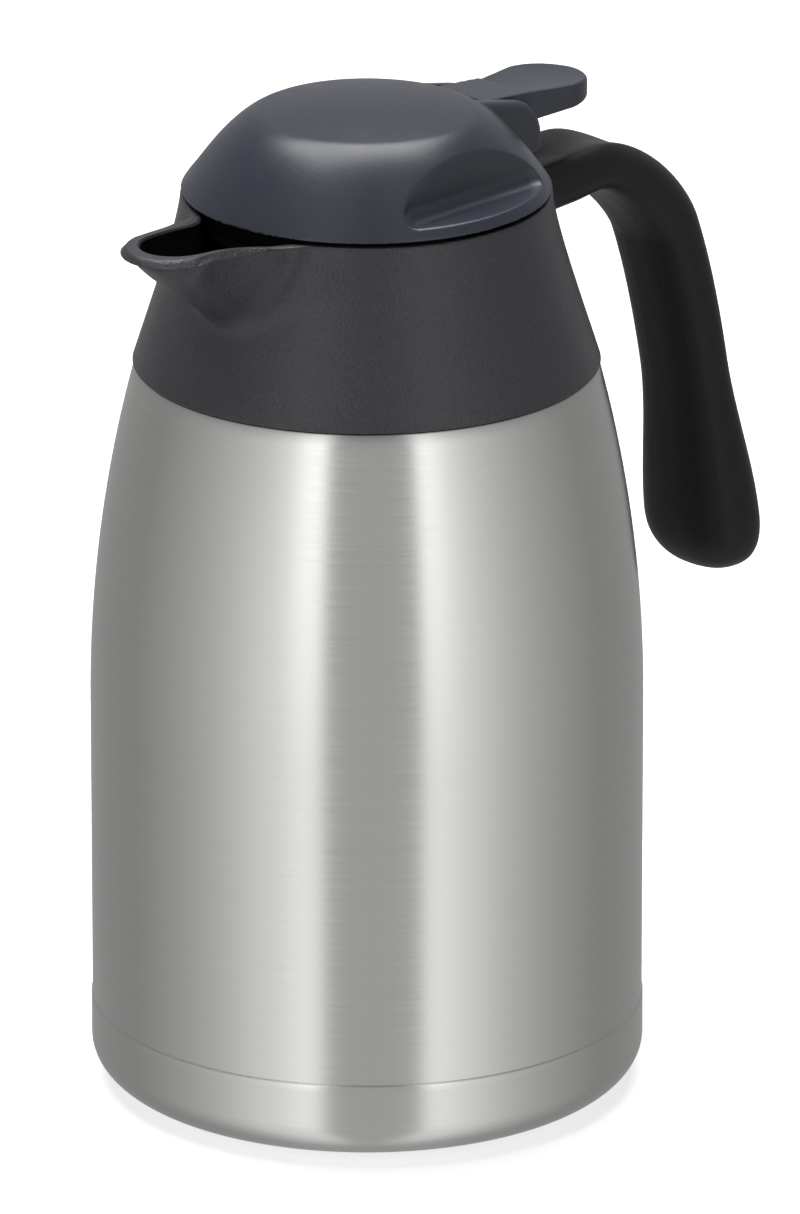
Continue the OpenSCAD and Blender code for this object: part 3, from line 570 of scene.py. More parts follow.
def flank(turn, z, inset, top, low):
    """The spout's U-shaped section at height z, from top(x) down to low(x)."""
    def inside(x, y):
        t, b = top(x), np.minimum(low(x), top(x) - 0.3)
        fall = np.clip((t - z) / (t - b), 0, 1)
        width = spout_width(x, inset(x)) * np.sqrt(np.maximum(0, 1 - fall**2))
        return np.where(z >= b, width - y, z - b - y)
    return furthest(inside, turn)


def rounded_max(a, b, soft):
    h = np.clip(0.5 + 0.5 * (b - a) / soft, 0, 1)
    return mix(a, b, h) + soft * h * (1 - h)


def lip_wall(x):
    """Thickness of the lip in plan, thicker at the tip."""
    return EDGE_W + LIP_W + 0.2 + 1.6 * ease((x - 64) / 10)


# %% Collar profile
collar_curve = bezier(
    (COLLAR_R, FOOT_Z),
    (mix(COLLAR_R, RIM_R, 0.375), mix(COLLAR_Z, RIM_Z, 0.343)),
    (mix(COLLAR_R, RIM_R, 0.956), mix(COLLAR_Z, RIM_Z, 0.804)),
    (RIM_R, RIM_Z), np.linspace(0, 1, 80))


def collar_at(z):
    return np.interp(z, collar_curve[:, 1], collar_curve[:, 0])


# %% Collar grid
def collar_rows(turn):
    """Rings of (distance, height) in each direction, once round the wall's section."""
    def constant(value):
        return lambda x: np.full(np.shape(x), value)

    rim_round = 0.35
    inner = np.maximum(BOWL_R, outline(turn, lip_wall))
    top_edge = outline(turn, lambda x: EDGE_W * edge_share(x))
    top_edge = rounded_max(np.full_like(turn, RIM_R - rim_round), top_edge, 1.2)
    low_edge = rounded_max(np.full_like(turn, RIM_R), outline(turn, constant(0.0)), 1.2)
    lip_in = lip_height(inner * np.cos(turn))
    lip_out = lip_height(top_edge * np.cos(turn))
    x_low = low_edge * np.cos(turn)
    share = edge_share(x_low)
    low_z = lip_height(x_low) - np.maximum(EDGE_H * share, rim_round)
    rows = [
        (inner, lip_in - 0.8), (inner + 0.06, lip_in - 0.7),
        (inner + 0.7, lip_in - 0.06), (inner + 0.85, lip_in),
        (mix(inner + 0.85, top_edge - 0.15, 0.5), mix(lip_in, lip_out, 0.5)),
        (top_edge - 0.15, lip_out), (top_edge + 0.08, lip_out - 0.07),
        (mix(top_edge, low_edge, 0.5), mix(lip_out, low_z, 0.5)),
        (low_edge, low_z), (low_edge - 0.05, low_z - 0.12),
    ]
    crease_z = low_z - 0.3

    def top(x):
        return lip_height(x) - EDGE_H * edge_share(x) - 0.2

    def set_back(x):
        return CREASE_IN * edge_share(x) + 2.2 * ease((x - NOSE_X) / 9)

    for k in np.concatenate([[0, 0.015, 0.035], np.linspace(0.06, 1, 34)]):
        z = mix(crease_z, FOOT_Z, k)
        spout = flank(turn, z, set_back, top, keel_low)
        soft = 1.2 + 5.5 * ease((crease_z - z) / 9)
        rows.append((rounded_max(collar_at(z), spout, soft), z))
    foot = arc((COLLAR_R - FOOT_ROUND, FOOT_Z), FOOT_ROUND, -FOOT_ROUND, 0, 90, 3)
    rows += [(np.full_like(turn, r), np.full_like(turn, z)) for r, z in foot[1:]]
    return rows, lip_in


def collar_inside(turn, lip_in):
    """The rest of the section: hidden skin, clamp hub, bowl floor and the pouring channel."""
    def ring(r, z):
        return (np.full_like(turn, float(r)), np.full_like(turn, float(z)))

    degrees = np.abs(np.degrees(turn))
    hollow_top = mix(203.0, 210.0, ease((degrees - 26) / 8))
    rows = [ring(COLLAR_R - 1.8, COLLAR_Z + 0.35)]
    rows += [ring(collar_at(z) - SKIN, z) for z in np.linspace(COLLAR_Z + 1, 202.0, 8)]
    rows += [(collar_at(hollow_top) - SKIN, hollow_top), (np.full_like(turn, HOLLOW_R), hollow_top)]
    rows += [ring(r, z) for r, z in (
        (HOLLOW_R, FLOOR_Z - SKIN), (HUB_OUT, FLOOR_Z - SKIN), (HUB_OUT, FLOOR_Z - HUB_DEEP),
        (HUB_IN, FLOOR_Z - HUB_DEEP), (HUB_IN, FLOOR_Z), (BOWL_R - 0.5, FLOOR_Z),
        (BOWL_R, FLOOR_Z + 0.5), (BOWL_R, CHANNEL_LOW - 0.05))]

    def channel_floor(x):
        return np.maximum(CHANNEL_LOW, keel_low(x) + 2)

    def flat_top(x):
        return np.full(np.shape(x), RIM_Z - 0.5)

    for k in np.linspace(0, 1, 26) ** 1.6:
        z = mix(CHANNEL_LOW + 0.02, lip_in - 0.95, k)
        channel = flank(turn, np.minimum(z, RIM_Z - 0.5), lip_wall, flat_top, channel_floor)
        rows.append((rounded_max(np.full_like(turn, BOWL_R), channel, 0.8), z))
    return rows


# %% Collar piece
def spaced(*spans):
    return np.concatenate([np.arange(a, b, step) for a, b, step in spans])


half_turns = spaced((0.2, 8, 0.4), (8, 16, 0.16), (16, 30, 0.4), (30, 180, 2.0))
turns = np.radians(np.concatenate([half_turns, -half_turns[::-1]]))
outer_rows, inner_lip = collar_rows(turns)
all_rows = outer_rows + collar_inside(turns, inner_lip)
collar_points = [
    (-r * math.cos(a), r * math.sin(a), z)
    for rs, zs in all_rows for r, z, a in zip(rs, zs, turns)
]
collar = mesh_object("collar_moulding", collar_points,
                     grid_faces(len(all_rows), len(turns), True, True), 38)
dress(collar, "vessel", "collar_plastic", "collar")


# %% Painted shade inside the collar
def paint_inside_shade(obj, is_inside):
    """The faces that only show through the pour opening are painted near black, as the deep shade
    in there.
    """
    obj.data.materials.append(FINISH["matt_inside"])
    for face in obj.data.polygons:
        if is_inside(face.center / MM, face.normal):
            face.material_index = 1


def bowl_faces_in_painted_shade(centre, normal):
    inward = -(centre.x * normal.x + centre.y * normal.y) / max(1, centre.xy.length)
    top = lip_height(max(RIM_R, -centre.x)) - 0.85
    return centre.z < top and centre.z > 195 and (
        inward > 0.1 or (normal.z > 0.3 and centre.xy.length < RIM_R - 0.5))


# the bowl and the pouring channel get painted shade
paint_inside_shade(collar, bowl_faces_in_painted_shade)

# %% [markdown]
# ## The handle
# The handle is one moulding with a free lower end: a level arm with a dished top, a bend, and a
# grip that swells towards its rounded end. It is a skin through superellipse sections set along
# a path, so each section can be a little squarer, deeper or dished than the last. The strip that
# closes the moulding on the body side sits in a hair-thin groove.

# %% Handle path
ARM_Z = RIM_Z - 10.6
ARM_END = np.array([RIM_R + 27.8, ARM_Z + 1.3])
GRIP_TOP = np.array([102.0, ARM_Z - 20.3])
GRIP_END = np.array([122.9, 97.0])
BEND = [ARM_END, ARM_END + [10.5, 0], GRIP_TOP + [-4.8, 9.3], GRIP_TOP]
GRIP = [GRIP_TOP, GRIP_TOP + [11.6, -27.5], GRIP_END + [-5.3, 29.8], GRIP_END]
ARM_H, ARM_W, GRIP_D, GRIP_W, SWELL = 7.1, 12.6, 7.9, 11.7, 0.4
END_T = 1 - 16 / np.linalg.norm(GRIP_END - GRIP_TOP)


def bezier_point(curve, t):
    return bezier(*curve, [t])[0]


def bezier_way(curve, t):
    a, b, c, d = curve
    u = 1 - t
    v = u * u * (b - a) + 2 * u * t * (c - b) + t * t * (d - c)
    return v / np.linalg.norm(v)


def handle_stations():
    """Each station: point, direction, half depth, half width, dish of the top."""
    stations = []
    start = np.array([RIM_R - 4, ARM_Z])
    for t in np.linspace(0, 1, 14)[:-1]:
        stations.append((mix(start, ARM_END, t), np.array([1.0, 0.0]), ARM_H, ARM_W,
                         mix(2, 2.6, t)))
    for t in np.linspace(0, 1, 22)[:-1]:
        e = float(ease(t))
        stations.append((bezier_point(BEND, t), bezier_way(BEND, t), mix(ARM_H, GRIP_D, e),
                         mix(ARM_W, GRIP_W, e), 2.6 * (1 - float(ease(t * 1.1)))))
    tail = END_T + (1 - END_T) * np.sin(np.radians(np.linspace(0, 87, 22)))
    for t in np.concatenate([np.linspace(0, END_T, 30)[:-1], tail]):
        way = bezier_way(GRIP, t)
        tilt = -math.radians(14) * float(ease((t - END_T + 0.1) / (1.1 - END_T)))
        way = np.array([way[0] * math.cos(tilt) - way[1] * math.sin(tilt),
                        way[0] * math.sin(tilt) + way[1] * math.cos(tilt)])
        swell = float(ease((t - 0.42) / (END_T - 0.40)))
        close = 1.0 if t <= END_T else max(0, 1 - ((t - END_T) / (1 - END_T)) ** 2.5) ** 0.4
        stations.append((bezier_point(GRIP, t), way,
                         mix(GRIP_D, GRIP_D * (1 + SWELL), swell) * close,
                         mix(GRIP_W, GRIP_W * (1 + SWELL * 0.7), swell) * close, 0.0))
    return stations


# %% Handle sections
SECTION_TURNS = np.radians(np.linspace(0, 360, 96, endpoint=False))
SQUARED = 0.82  # 1 is an ellipse, less is squarer
GROOVE_Y = 6.4


def handle_ring(station):
    """One section: squarish, deeper under the arm, dished on top."""
    p, way, d, w, dish = station
    on_arm = min(1, max(0, (ARM_END[0] - p[0]) / 8))
    at_collar = max(0, 1 - (p[0] - RIM_R - 1) / 7)
    ring = []
    for a in SECTION_TURNS:
        y = w * math.copysign(abs(math.cos(a)) ** SQUARED, math.cos(a))
        h = d * math.copysign(abs(math.sin(a)) ** SQUARED, math.sin(a))
        if h < 0:
            h *= 1 + 0.1 * on_arm + 0.55 * at_collar**2
        if h > 0:
            h -= dish * max(0, 1 - (y / (w * 0.72)) ** 2) ** 1.2
        ring.append((p[0] - way[1] * h, y, p[1] + way[0] * h))
    return ring


stations = handle_stations()
rings = [handle_ring(s) for s in stations]


def tuck_into_collar(ring):
    """The arm's first ring follows the collar's wall, just under its surface."""
    return [(math.sqrt(max(1, (float(collar_at(z)) - 0.5) ** 2 - y * y)), y, z) for _, y, z in ring]


outside_collar = [r for r, s in zip(rings, stations) if s[0][0] > RIM_R + 3.5]
rings = [tuck_into_collar(rings[0])] + outside_collar
dress(loft("handle_moulding", rings, 40), "vessel", "handle_plastic", "handle_shell")


# %% Handle cover
def cover_strip():
    """The strip between the grooves, a hair proud of the grip, 2 mm thick."""
    strip = []
    for p, way, d, w, _ in stations:
        if p[0] < ARM_END[0] + 5 or (p[1] < GRIP_END[1] + 16):
            continue
        face, back = [], []
        for y in np.linspace(-GROOVE_Y, GROOVE_Y, 9):
            c = (abs(y) / w) ** (1 / SQUARED)
            h = -d * max(0, 1 - c * c) ** (SQUARED / 2)
            edge = 0.06 if abs(y) < GROOVE_Y - 0.1 else -0.12
            for out, depth in ((face, h - edge), (back, h + 2)):
                out.append((p[0] - way[1] * depth, y, p[1] + way[0] * depth))
        strip.append(face + back[::-1])
    return loft("handle_strip", strip, 50)


dress(cover_strip(), "vessel", "handle_plastic", "handle_cover")

# %% [markdown]
# ## The dome of the lid
# The dome is a moulding too: a turned cap with a finger recess on each side and two cheeks at
# the back that carry the lever. Its edges are all a little soft, as moulded edges are. Cutting
# and joining are booleans here, and a voxel remesh with a light smoothing then rounds every edge
# by the same few tenths of a millimetre. The pin's hole and the hollow are cut after that, so
# their own edges stay sharp and cost few triangles.

# %% Dome sizes
DOME_Z = RIM_Z + 1.1
DOME_R, DOME_H, CROWN_R, CROWN_DROP = 44.1, 21.2, 25.5, 2.4
TONGUE_R, BASE_TOP = BOWL_R - 0.4, DOME_Z - 4.8
RECESS_Y, RECESS_FLOOR, RECESS_HALF, RECESS_MID = 31.8, 2.5, 26.5, 0.8
PIVOT_X, PIVOT_Z, PIN_R = 39.0, DOME_Z + 5.8, 1.5
SCREW_RING, SCREW_FACE = 30.0, 216.4
SCREW_ANGLES = [math.radians(a) for a in (60, 180, 300)]
DOME_WALL, BOSS_R, CHEEK_FRONT = 2.2, 3.2, 24.0
HIGH_ABOVE = DOME_Z + 40  # cutters that are open at the top end here
DOME_VOXEL, LEVER_VOXEL = 0.42, 0.28
CHEEK_IN, CHEEK_OUT = 8.7, 13.0
CHEEK_X, CHEEK_TOP = PIVOT_X + 9.5, DOME_Z + 14.3


def dome_profile(inset):
    flank_curve = bezier(
        (DOME_R - inset, DOME_Z), (DOME_R - 4.8 - inset, DOME_Z + 7.1),
        (CROWN_R + 6 - inset * 0.8, DOME_Z + DOME_H - CROWN_DROP - 1.5 - inset * 0.8),
        (CROWN_R - inset * 0.4, DOME_Z + DOME_H - CROWN_DROP - inset), np.linspace(0, 1, 40))
    crown = (CROWN_R**2 + CROWN_DROP**2) / (2 * CROWN_DROP)
    top = DOME_Z + DOME_H - inset
    cap = [(r, top - crown + math.sqrt(crown * crown - r * r))
           for r in (CROWN_R - inset * 0.4) * (1 - np.linspace(0, 1, 16)[1:])]
    return [tuple(p) for p in flank_curve] + cap


# %% Cutting and joining
def boolean(obj, other, operation):
    cut = obj.modifiers.new("cut", "BOOLEAN")
    cut.operation = operation
    cut.solver = "EXACT"
    cut.object = other
    bake_modifiers(obj)
    bpy.data.objects.remove(other)
    return obj


def bake_modifiers(obj):
    """Turns the object's modifiers into plain mesh."""
    graph = bpy.context.evaluated_depsgraph_get()
    graph.update()
    mesh = bpy.data.meshes.new_from_object(obj.evaluated_get(graph))
    obj.modifiers.clear()
    old, obj.data = obj.data, mesh
    bpy.data.meshes.remove(old)


def box(name, low, high):
    x0, y0, z0 = low
    x1, y1, z1 = high
    return loft(name, [[(x0, y0, z), (x1, y0, z), (x1, y1, z), (x0, y1, z)] for z in (z0, z1)])


def circle(radius, steps=40):
    return [(radius * math.cos(a), radius * math.sin(a))
            for a in np.linspace(0, 2 * math.pi, steps, endpoint=False)]


def rod(name, x, z, radius, y0, y1):
    """A round bar across the object, from y0 to y1."""
    return loft(name, [[(x + u, y, z + v) for u, v in circle(radius)] for y in (y0, y1)])


def post(name, x, y, radius, z0, z1):
    """A round bar that stands up, from z0 to z1."""
    return loft(name, [[(x + u, y + v, z) for u, v in circle(radius)] for z in (z0, z1)])


def recess_cutter(name, grow, side):
    """The space of one finger recess, rounded in plan and along its foot."""
    def ring(z, inset, y, half):
        r, h = 7.0 - inset, half - inset
        plan = [(RECESS_MID + h, 66), (RECESS_MID - h, 66)]
        plan += arc((RECESS_MID - h + r, y + inset + r), r, r, 180, 270, 10)
        plan += arc((RECESS_MID + h - r, y + inset + r), r, r, 270, 360, 10)
        return [(x, side * v, z) for x, v in plan]

    foot = 3.6
    rings = [ring(DOME_Z + RECESS_FLOOR - grow + foot * (1 - math.cos(a)), foot * (1 - math.sin(a)),
                  RECESS_Y - grow, RECESS_HALF + grow) for a in np.radians(np.linspace(0, 90, 9))]
    rings.append(ring(DOME_Z + 60, 0, RECESS_Y - grow, RECESS_HALF + grow))
    return loft(name, rings)


# %% Cheeks
def cheek(name, side):
    def ring(y, inset):
        corner, slope = 9.5, 0.23
        rise = slope * (CHEEK_X - corner - CHEEK_FRONT)
        plate = [(CHEEK_FRONT, DOME_Z + 0.5), (CHEEK_FRONT, CHEEK_TOP + rise - inset)]
        plate += arc((CHEEK_X - corner, CHEEK_TOP - corner - 0.5),
                     corner - inset, corner + 0.5 - inset, 79, 0, 14)
        plate += [(CHEEK_X - inset, DOME_Z + 0.5)]
        return [(x, side * y, z) for x, z in plate]

    edge = 2.6
    rings = [ring(CHEEK_IN, 0)]
    rings += [ring(CHEEK_OUT - edge * (1 - math.sin(a)), edge * (1 - math.cos(a)))
              for a in np.radians(np.linspace(0, 90, 9))]
    return loft(name, rings)


# %% Dome piece
def dome_hollow():
    """The space inside, with the recesses, the cheeks and the screw bosses left standing."""
    side_r = TONGUE_R - 2
    profile = [(0, BASE_TOP - 1), (side_r, BASE_TOP - 1), (side_r, DOME_Z)]
    profile += [(min(r, side_r), z) for r, z in dome_profile(DOME_WALL)]
    hollow = turned("hollow", profile, 96)
    for side in (1, -1):
        hollow = boolean(hollow, recess_cutter("grown", DOME_WALL, side), "DIFFERENCE")
        low, high = sorted((side * CHEEK_IN, side * CHEEK_OUT))
        space = box("cheek_space", (CHEEK_FRONT, low, DOME_Z - 2), (70, high, HIGH_ABOVE))
        hollow = boolean(hollow, space, "DIFFERENCE")
    for a in SCREW_ANGLES:
        boss = post("boss", SCREW_RING * math.cos(a), SCREW_RING * math.sin(a), BOSS_R,
                    BASE_TOP - 0.5, HIGH_ABOVE)
        hollow = boolean(hollow, boss, "DIFFERENCE")
    return hollow


def build_dome():
    outline_points = [(0, BASE_TOP), (TONGUE_R, BASE_TOP), (TONGUE_R, DOME_Z)] + dome_profile(0)
    dome = turned("lid_dome_moulding", outline_points, 192)
    for side in (1, -1):
        dome = boolean(dome, recess_cutter("recess", 0, side), "DIFFERENCE")
    for side in (1, -1):
        dome = boolean(dome, cheek("cheek", side), "UNION")
    slot = box("slot", (PIVOT_X - 6.6, -CHEEK_IN, DOME_Z + 1.6), (80, CHEEK_IN, HIGH_ABOVE))
    dome = boolean(dome, slot, "DIFFERENCE")
    soften(dome, DOME_VOXEL, 2)
    dome = boolean(dome, rod("pin_hole", PIVOT_X, PIVOT_Z, PIN_R, -11.4, 11.4), "DIFFERENCE")
    return boolean(dome, dome_hollow(), "DIFFERENCE")


def soften(obj, voxel, rounds):
    """Rounds every edge; voxel in millimetres."""
    remesh = obj.modifiers.new("remesh", "REMESH")
    remesh.mode = "VOXEL"
    remesh.voxel_size = voxel * MM
    soft = obj.modifiers.new("soft", "SMOOTH")
    soft.factor = 0.5
    soft.iterations = rounds
    bake_modifiers(obj)


dome = build_dome()
smooth(dome.data, 40)
dress(dome, "lid", "lid_plastic", "lid_dome")
# the dome's tongue and underside get the same painted shade
paint_inside_shade(dome, lambda centre, normal: centre.z < DOME_Z - 0.3)
print("dome triangles:", sum(len(p.vertices) - 2 for p in dome.data.polygons))

# %% [markdown]
# ## The thumb lever
# The lever is a see-saw: a broad tail for the thumb, a nose that fills the slot between the
# cheeks, and an arm inside the lid that forks round the stem cap. Tail and nose are lofted and
# extruded, joined, and softened like the dome, because they come from the same kind of mould.

# %% Lever sizes
LEVER_HALF, TAIL_HALF, TAIL_X = 8.4, 11.0, 72.4
TAIL_TOP, TAIL_LOW = DOME_Z + 13.2, DOME_Z + 6.1
FORK_Z, ARM_HALF, FORK_PIN_R, PIN_PLAY = PIVOT_Z - 0.8, 1.9, 1.6, 0.05
CAP_R = 6.4


# %% Lever piece
def tail():
    """The thumb's part, which widens and rises a little towards its round end."""
    nose_x = TAIL_X - TAIL_HALF
    start = CHEEK_X + 0.3
    spans = [(PIVOT_X + 6, LEVER_HALF), (start - 1.5, LEVER_HALF)]
    spans += [(mix(start, nose_x, t), mix(LEVER_HALF, TAIL_HALF, t))
              for t in np.linspace(0, 1, 20)]
    spans += [(nose_x + TAIL_HALF * math.sin(a), max(0.8, TAIL_HALF * math.cos(a)))
              for a in np.radians(np.linspace(0, 86, 18)[1:])]
    rings = []
    for x, w in spans:
        t = (x - PIVOT_X - 6) / (TAIL_X - PIVOT_X - 6)
        section = tail_section(w, TAIL_LOW + 2.4 * t, TAIL_TOP + 0.9 - 1.0 * t)
        rings.append([(x, y, z) for y, z in section])
    return loft("tail", rings)


def tail_section(w, low, top):
    """A flat bar with rounded edges, and a shallow dish in its top for the thumb."""
    r = min(1.0, 0.9 * w)
    right = arc((w - r, low + r), r, r, -90, 0, 6) + arc((w - r, top - r), r, r, 0, 90, 6)
    sag = 0.6 * (w / TAIL_HALF) ** 2
    dished = [(y, top - sag * (1 - (y / (w - r)) ** 2))
              for y in np.linspace(w - r, r - w, 17)[1:-1]]
    left = [(-y, z) for y, z in right[::-1]]
    return right + dished + left


def build_lever():
    nose = [(-6.3, FORK_Z - ARM_HALF), (-6.3, TAIL_TOP + 2.2), (0, TAIL_TOP + 1.7),
            (9, TAIL_TOP + 0.9), (9, TAIL_LOW), (4, FORK_Z - 2.5), (-2, FORK_Z - 2.5)]
    sides = [[(PIVOT_X + x, y, z) for x, z in nose] for y in (-LEVER_HALF, LEVER_HALF)]
    lever = loft("lever_moulding", sides)
    lever = boolean(lever, tail(), "UNION")
    arm = box("arm", (-2.4, -LEVER_HALF, FORK_Z - ARM_HALF),
              (PIVOT_X - 2.4, LEVER_HALF, FORK_Z + ARM_HALF))
    gap = box("gap", (-12, -CAP_R - 0.5, FORK_Z - 6), (CAP_R + 3, CAP_R + 0.5, FORK_Z + 6))
    lever = boolean(lever, boolean(arm, gap, "DIFFERENCE"), "UNION")
    for side in (1, -1):
        fork_pin = rod("fork_pin", 0, FORK_Z, FORK_PIN_R, side * 4.6, side * 8)
        lever = boolean(lever, fork_pin, "UNION")
    soften(lever, LEVER_VOXEL, 2)
    pin_hole = rod("pin_hole", PIVOT_X, PIVOT_Z, PIN_R + PIN_PLAY, -20, 20)
    return boolean(lever, pin_hole, "DIFFERENCE")


lever = build_lever()
smooth(lever.data, 45)
dress(lever, "lever", "lid_plastic", "lever")
print("lever triangles:", sum(len(p.vertices) - 2 for p in lever.data.polygons))

# %% [markdown]
# ## Screws and ribs
# Three pan-head screws hold the plate under the dome, and a ring of small ribs on the throat
# ring gives the fitting tool its grip. Both are one part repeated round a circle, which is work
# for Geometry Nodes: a circle of points, the part set on each point and turned to face outwards,
# then made real and given its finish. The part itself is made once in mesh code. The tree has
# named inputs, so the same tree makes the screws and the ribs.


# %% Tree helpers
def vector(tree, **parts):
    """A vector from what is given for X, Y and Z."""
    return new_node(tree, "ShaderNodeCombineXYZ", parts).outputs[0]


def start_tree(name, inputs):
    """A new tree; gives the tree, the identifiers of its named inputs, and their sockets."""
    tree = bpy.data.node_groups.new(name, "GeometryNodeTree")
    keys = {}
    for key, kind in inputs:
        made = tree.interface.new_socket(key, in_out="INPUT", socket_type="NodeSocket" + kind)
        keys[key] = made.identifier
    tree.interface.new_socket("Geometry", in_out="OUTPUT", socket_type="NodeSocketGeometry")
    return tree, keys, new_node(tree, "NodeGroupInput").outputs


def end_tree(tree, shape, finish):
    """Makes every copy real, gives it the finish and sends it out."""
    real = new_node(tree, "GeometryNodeRealizeInstances", {0: shape})
    finished = new_node(tree, "GeometryNodeSetMaterial",
                        {"Geometry": real.outputs[0], "Material": finish})
    new_node(tree, "NodeGroupOutput", {0: finished.outputs[0]})


def run_tree(name, tree, keys, values, sharp):
    """Runs a tree with the given values and keeps what it makes as one plain mesh."""
    obj = add_object(name, bpy.data.meshes.new(name))
    modifier = obj.modifiers.new("tree", "NODES")
    modifier.node_group = tree
    for key, value in values.items():
        modifier[keys[key]] = value
    bake_modifiers(obj)
    smooth(obj.data, sharp)
    return obj


# %% A tree that repeats a part round a circle
def ring_tree():
    tree, keys, given = start_tree("ring_of_parts", (
        ("Part", "Object"), ("Count", "Int"), ("Ring radius", "Float"),
        ("Height", "Float"), ("First angle", "Float"), ("Finish", "Material")))
    ring = new_node(tree, "GeometryNodeMeshCircle",
                    {"Vertices": given["Count"], "Radius": given["Ring radius"]})
    placed = new_node(tree, "GeometryNodeTransform", {
        "Geometry": ring.outputs["Mesh"], "Translation": vector(tree, Z=given["Height"]),
        "Rotation": vector(tree, Z=given["First angle"])})
    # each copy is turned by the compass angle of its own point
    here = new_node(tree, "GeometryNodeInputPosition").outputs[0]
    spot = new_node(tree, "ShaderNodeSeparateXYZ", {0: here}).outputs
    part = new_node(tree, "GeometryNodeObjectInfo", {"Object": given["Part"]})
    copies = new_node(tree, "GeometryNodeInstanceOnPoints", {
        "Points": placed.outputs[0], "Instance": part.outputs["Geometry"],
        "Rotation": vector(tree, Z=maths(tree, "ARCTAN2", spot["Y"], spot["X"]))})
    end_tree(tree, copies.outputs[0], given["Finish"])
    return tree, keys


RING_TREE, RING_KEYS = ring_tree()
print("ring tree inputs:", sorted(RING_KEYS))


# %% Using the tree
def ring_of(name, part, count, radius, height, first_angle, finish):
    """Copies of part round Z; lengths in millimetres."""
    values = {"Part": part, "Count": count, "Ring radius": radius * MM, "Height": height * MM,
              "First angle": first_angle, "Finish": FINISH[finish]}
    obj = run_tree(name, RING_TREE, RING_KEYS, values, 35)
    bpy.data.objects.remove(part)
    return obj


# %% Lid screws
def screw_profile(face_r=2.9, head=1.3, shank_r=1.5, length=9.5, pitch=0.55):
    profile = [(0, 0), (face_r - 0.8, 0), (face_r - 0.3, 0.12), (face_r - 0.06, 0.4), (face_r, 0.7),
               (face_r, head), (shank_r, head), (shank_r, head + 0.6)]
    for z in np.arange(head + 0.8, length - 0.9, pitch):
        profile += [(shank_r - 0.3, z), (shank_r, z + 0.45 * pitch)]
    return profile + [(shank_r - 0.3, length - 0.6), (0, length)]


def screw_part():
    screw = turned("screw", screw_profile(), 32)
    for low, high in (((-1.5, -0.35, -1), (1.5, 0.35, 0.9)), ((-0.35, -1.5, -1), (0.35, 1.5, 0.9))):
        screw = boolean(screw, box("cross", low, high), "DIFFERENCE")
    return screw


screws = ring_of("lid_screw_set", screw_part(), len(SCREW_ANGLES), SCREW_RING, SCREW_FACE,
                 SCREW_ANGLES[0], "bare_steel")
dress(screws, "lid", "bare_steel", "lid_screws")


# %% Throat ring ribs
def rib_part(half_length=0.9, half_width=0.55, height=0.75, sunk=0.3):
    """One rib: long in the radial direction, with a rounded top."""
    rings = []
    flat = half_length - 0.25
    for x, shrink in ((-half_length, 0.3), (-flat, 0), (flat, 0), (half_length, 0.3)):
        w, top = half_width - shrink, height - shrink
        section = [(-w, -sunk), (w, -sunk)] + arc((0, top - w), w, w, 0, 180, 6)
        rings.append([(x, y, z) for y, z in section])
    return loft("rib", rings, 60)


RIB_COUNT, RIB_RING = 32, 39.2
ribs = ring_of("throat_ring_ribs", rib_part(), RIB_COUNT, RIB_RING, THROAT_Z, 0.0, "collar_plastic")
dress(ribs, "vessel", "collar_plastic")
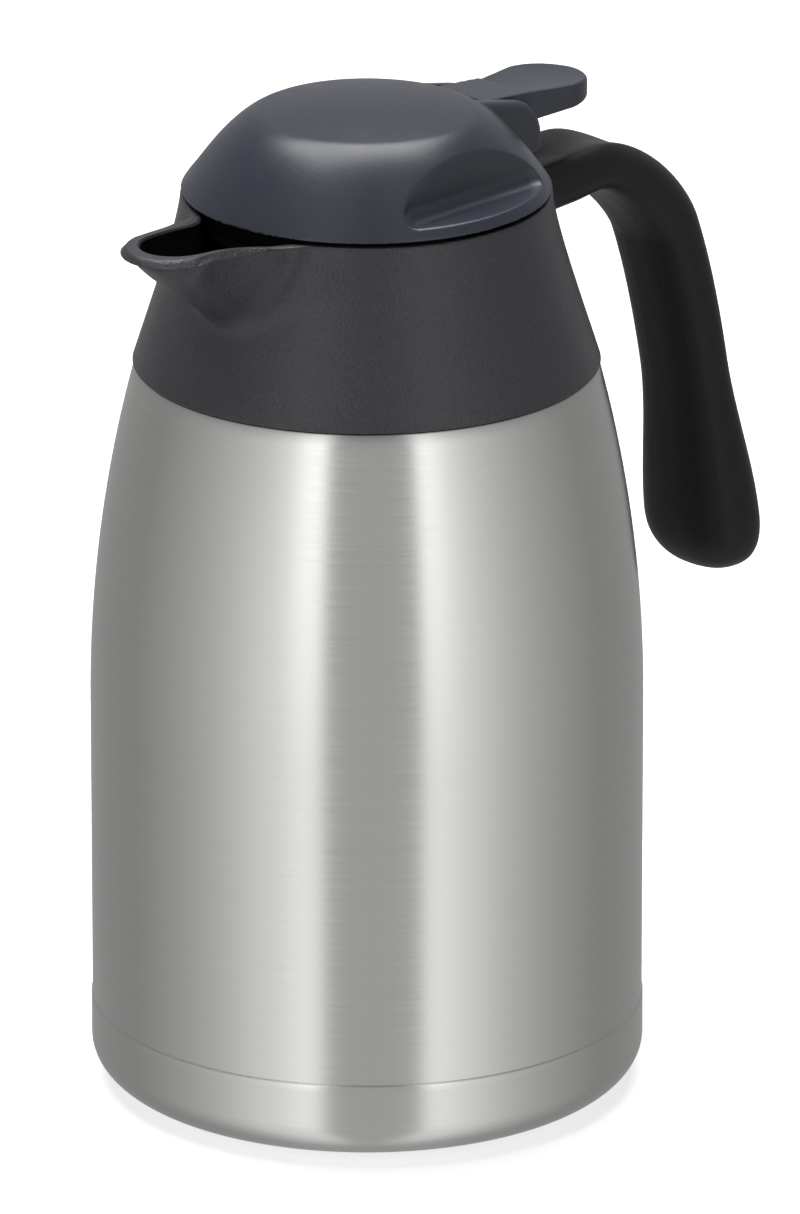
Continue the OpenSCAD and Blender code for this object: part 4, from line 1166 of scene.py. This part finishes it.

# %% [markdown]
# ## The valve spring
# The spring that closes the valve is a wire wound on a rule: it lies flat for 0.7 of a turn at
# each end, and climbs evenly between. So its tree bends a line of points by that rule and sweeps
# a round wire along it. Its top rests on the washer in the lid while the valve pushes its foot
# up, so the piece rides on the lid.


# %% A tree that winds a spring
def spring_tree():
    tree, keys, given = start_tree("wound_spring", (
        ("Points", "Int"), ("Points per turn", "Float"), ("Flat turns", "Float"),
        ("Last climb turn", "Float"), ("Coil radius", "Float"), ("Wire radius", "Float"),
        ("Low", "Float"), ("High", "Float"), ("Finish", "Material")))
    number = new_node(tree, "GeometryNodeInputIndex").outputs[0]
    turn = maths(tree, "DIVIDE", number, given["Points per turn"])
    angle = maths(tree, "MULTIPLY", turn, 2 * math.pi)
    x, y = (maths(tree, "MULTIPLY", maths(tree, way, angle), given["Coil radius"])
            for way in ("COSINE", "SINE"))
    climb = map_range(tree, turn, (given["Flat turns"], given["Last climb turn"]),
                      (given["Low"], given["High"]))
    line = new_node(tree, "GeometryNodeMeshLine", {"Count": given["Points"]})
    bent = new_node(tree, "GeometryNodeSetPosition", {
        "Geometry": line.outputs[0], "Position": vector(tree, X=x, Y=y, Z=climb)})
    path = new_node(tree, "GeometryNodeMeshToCurve", {0: bent.outputs[0]})
    wire = new_node(tree, "GeometryNodeCurvePrimitiveCircle",
                    {"Resolution": 12, "Radius": given["Wire radius"]})
    swept = new_node(tree, "GeometryNodeCurveToMesh", {
        "Curve": path.outputs[0], "Profile Curve": wire.outputs[0], "Fill Caps": True})
    end_tree(tree, swept.outputs[0], given["Finish"])
    return tree, keys


# %% Valve spring
SPRING_TURNS, FLAT_TURNS, TURN_POINTS = 7, 0.7, 40
COIL_R, WIRE_R, SPRING_FOOT, SPRING_TOP, VALVE_LIFT = 8.5, 0.6, 183.08, 215.52, 8.4


def wound_spring():
    return run_tree("valve_spring_coil", *spring_tree(), {
        "Points": SPRING_TURNS * TURN_POINTS + 1, "Points per turn": float(TURN_POINTS),
        "Flat turns": FLAT_TURNS, "Last climb turn": SPRING_TURNS - FLAT_TURNS,
        "Coil radius": COIL_R * MM, "Wire radius": WIRE_R * MM,
        "Low": (SPRING_FOOT + WIRE_R) * MM, "High": (SPRING_TOP - WIRE_R) * MM,
        "Finish": FINISH["bare_steel"]}, 50)


spring = dress(wound_spring(), "lid", "bare_steel", "valve_spring")
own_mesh(spring)

# %% [markdown]
# ## Finishes on the CAD pieces that stay
# The remaining nodes already have their true shape, so each only gets the finish of its slot.

# %% Finishes on the rest
slot_of = {part["node"]: part["material_slot"] for part in frame["record"]["subparts"]}
shown = 0
for name, node in frame["nodes"].items():
    if node.hide_render:
        continue
    node.data.materials.clear()
    node.data.materials.append(FINISH[slot_of[name]])
    shown += 1
print("CAD nodes that keep their shape:", shown)

# %% One more import
import json
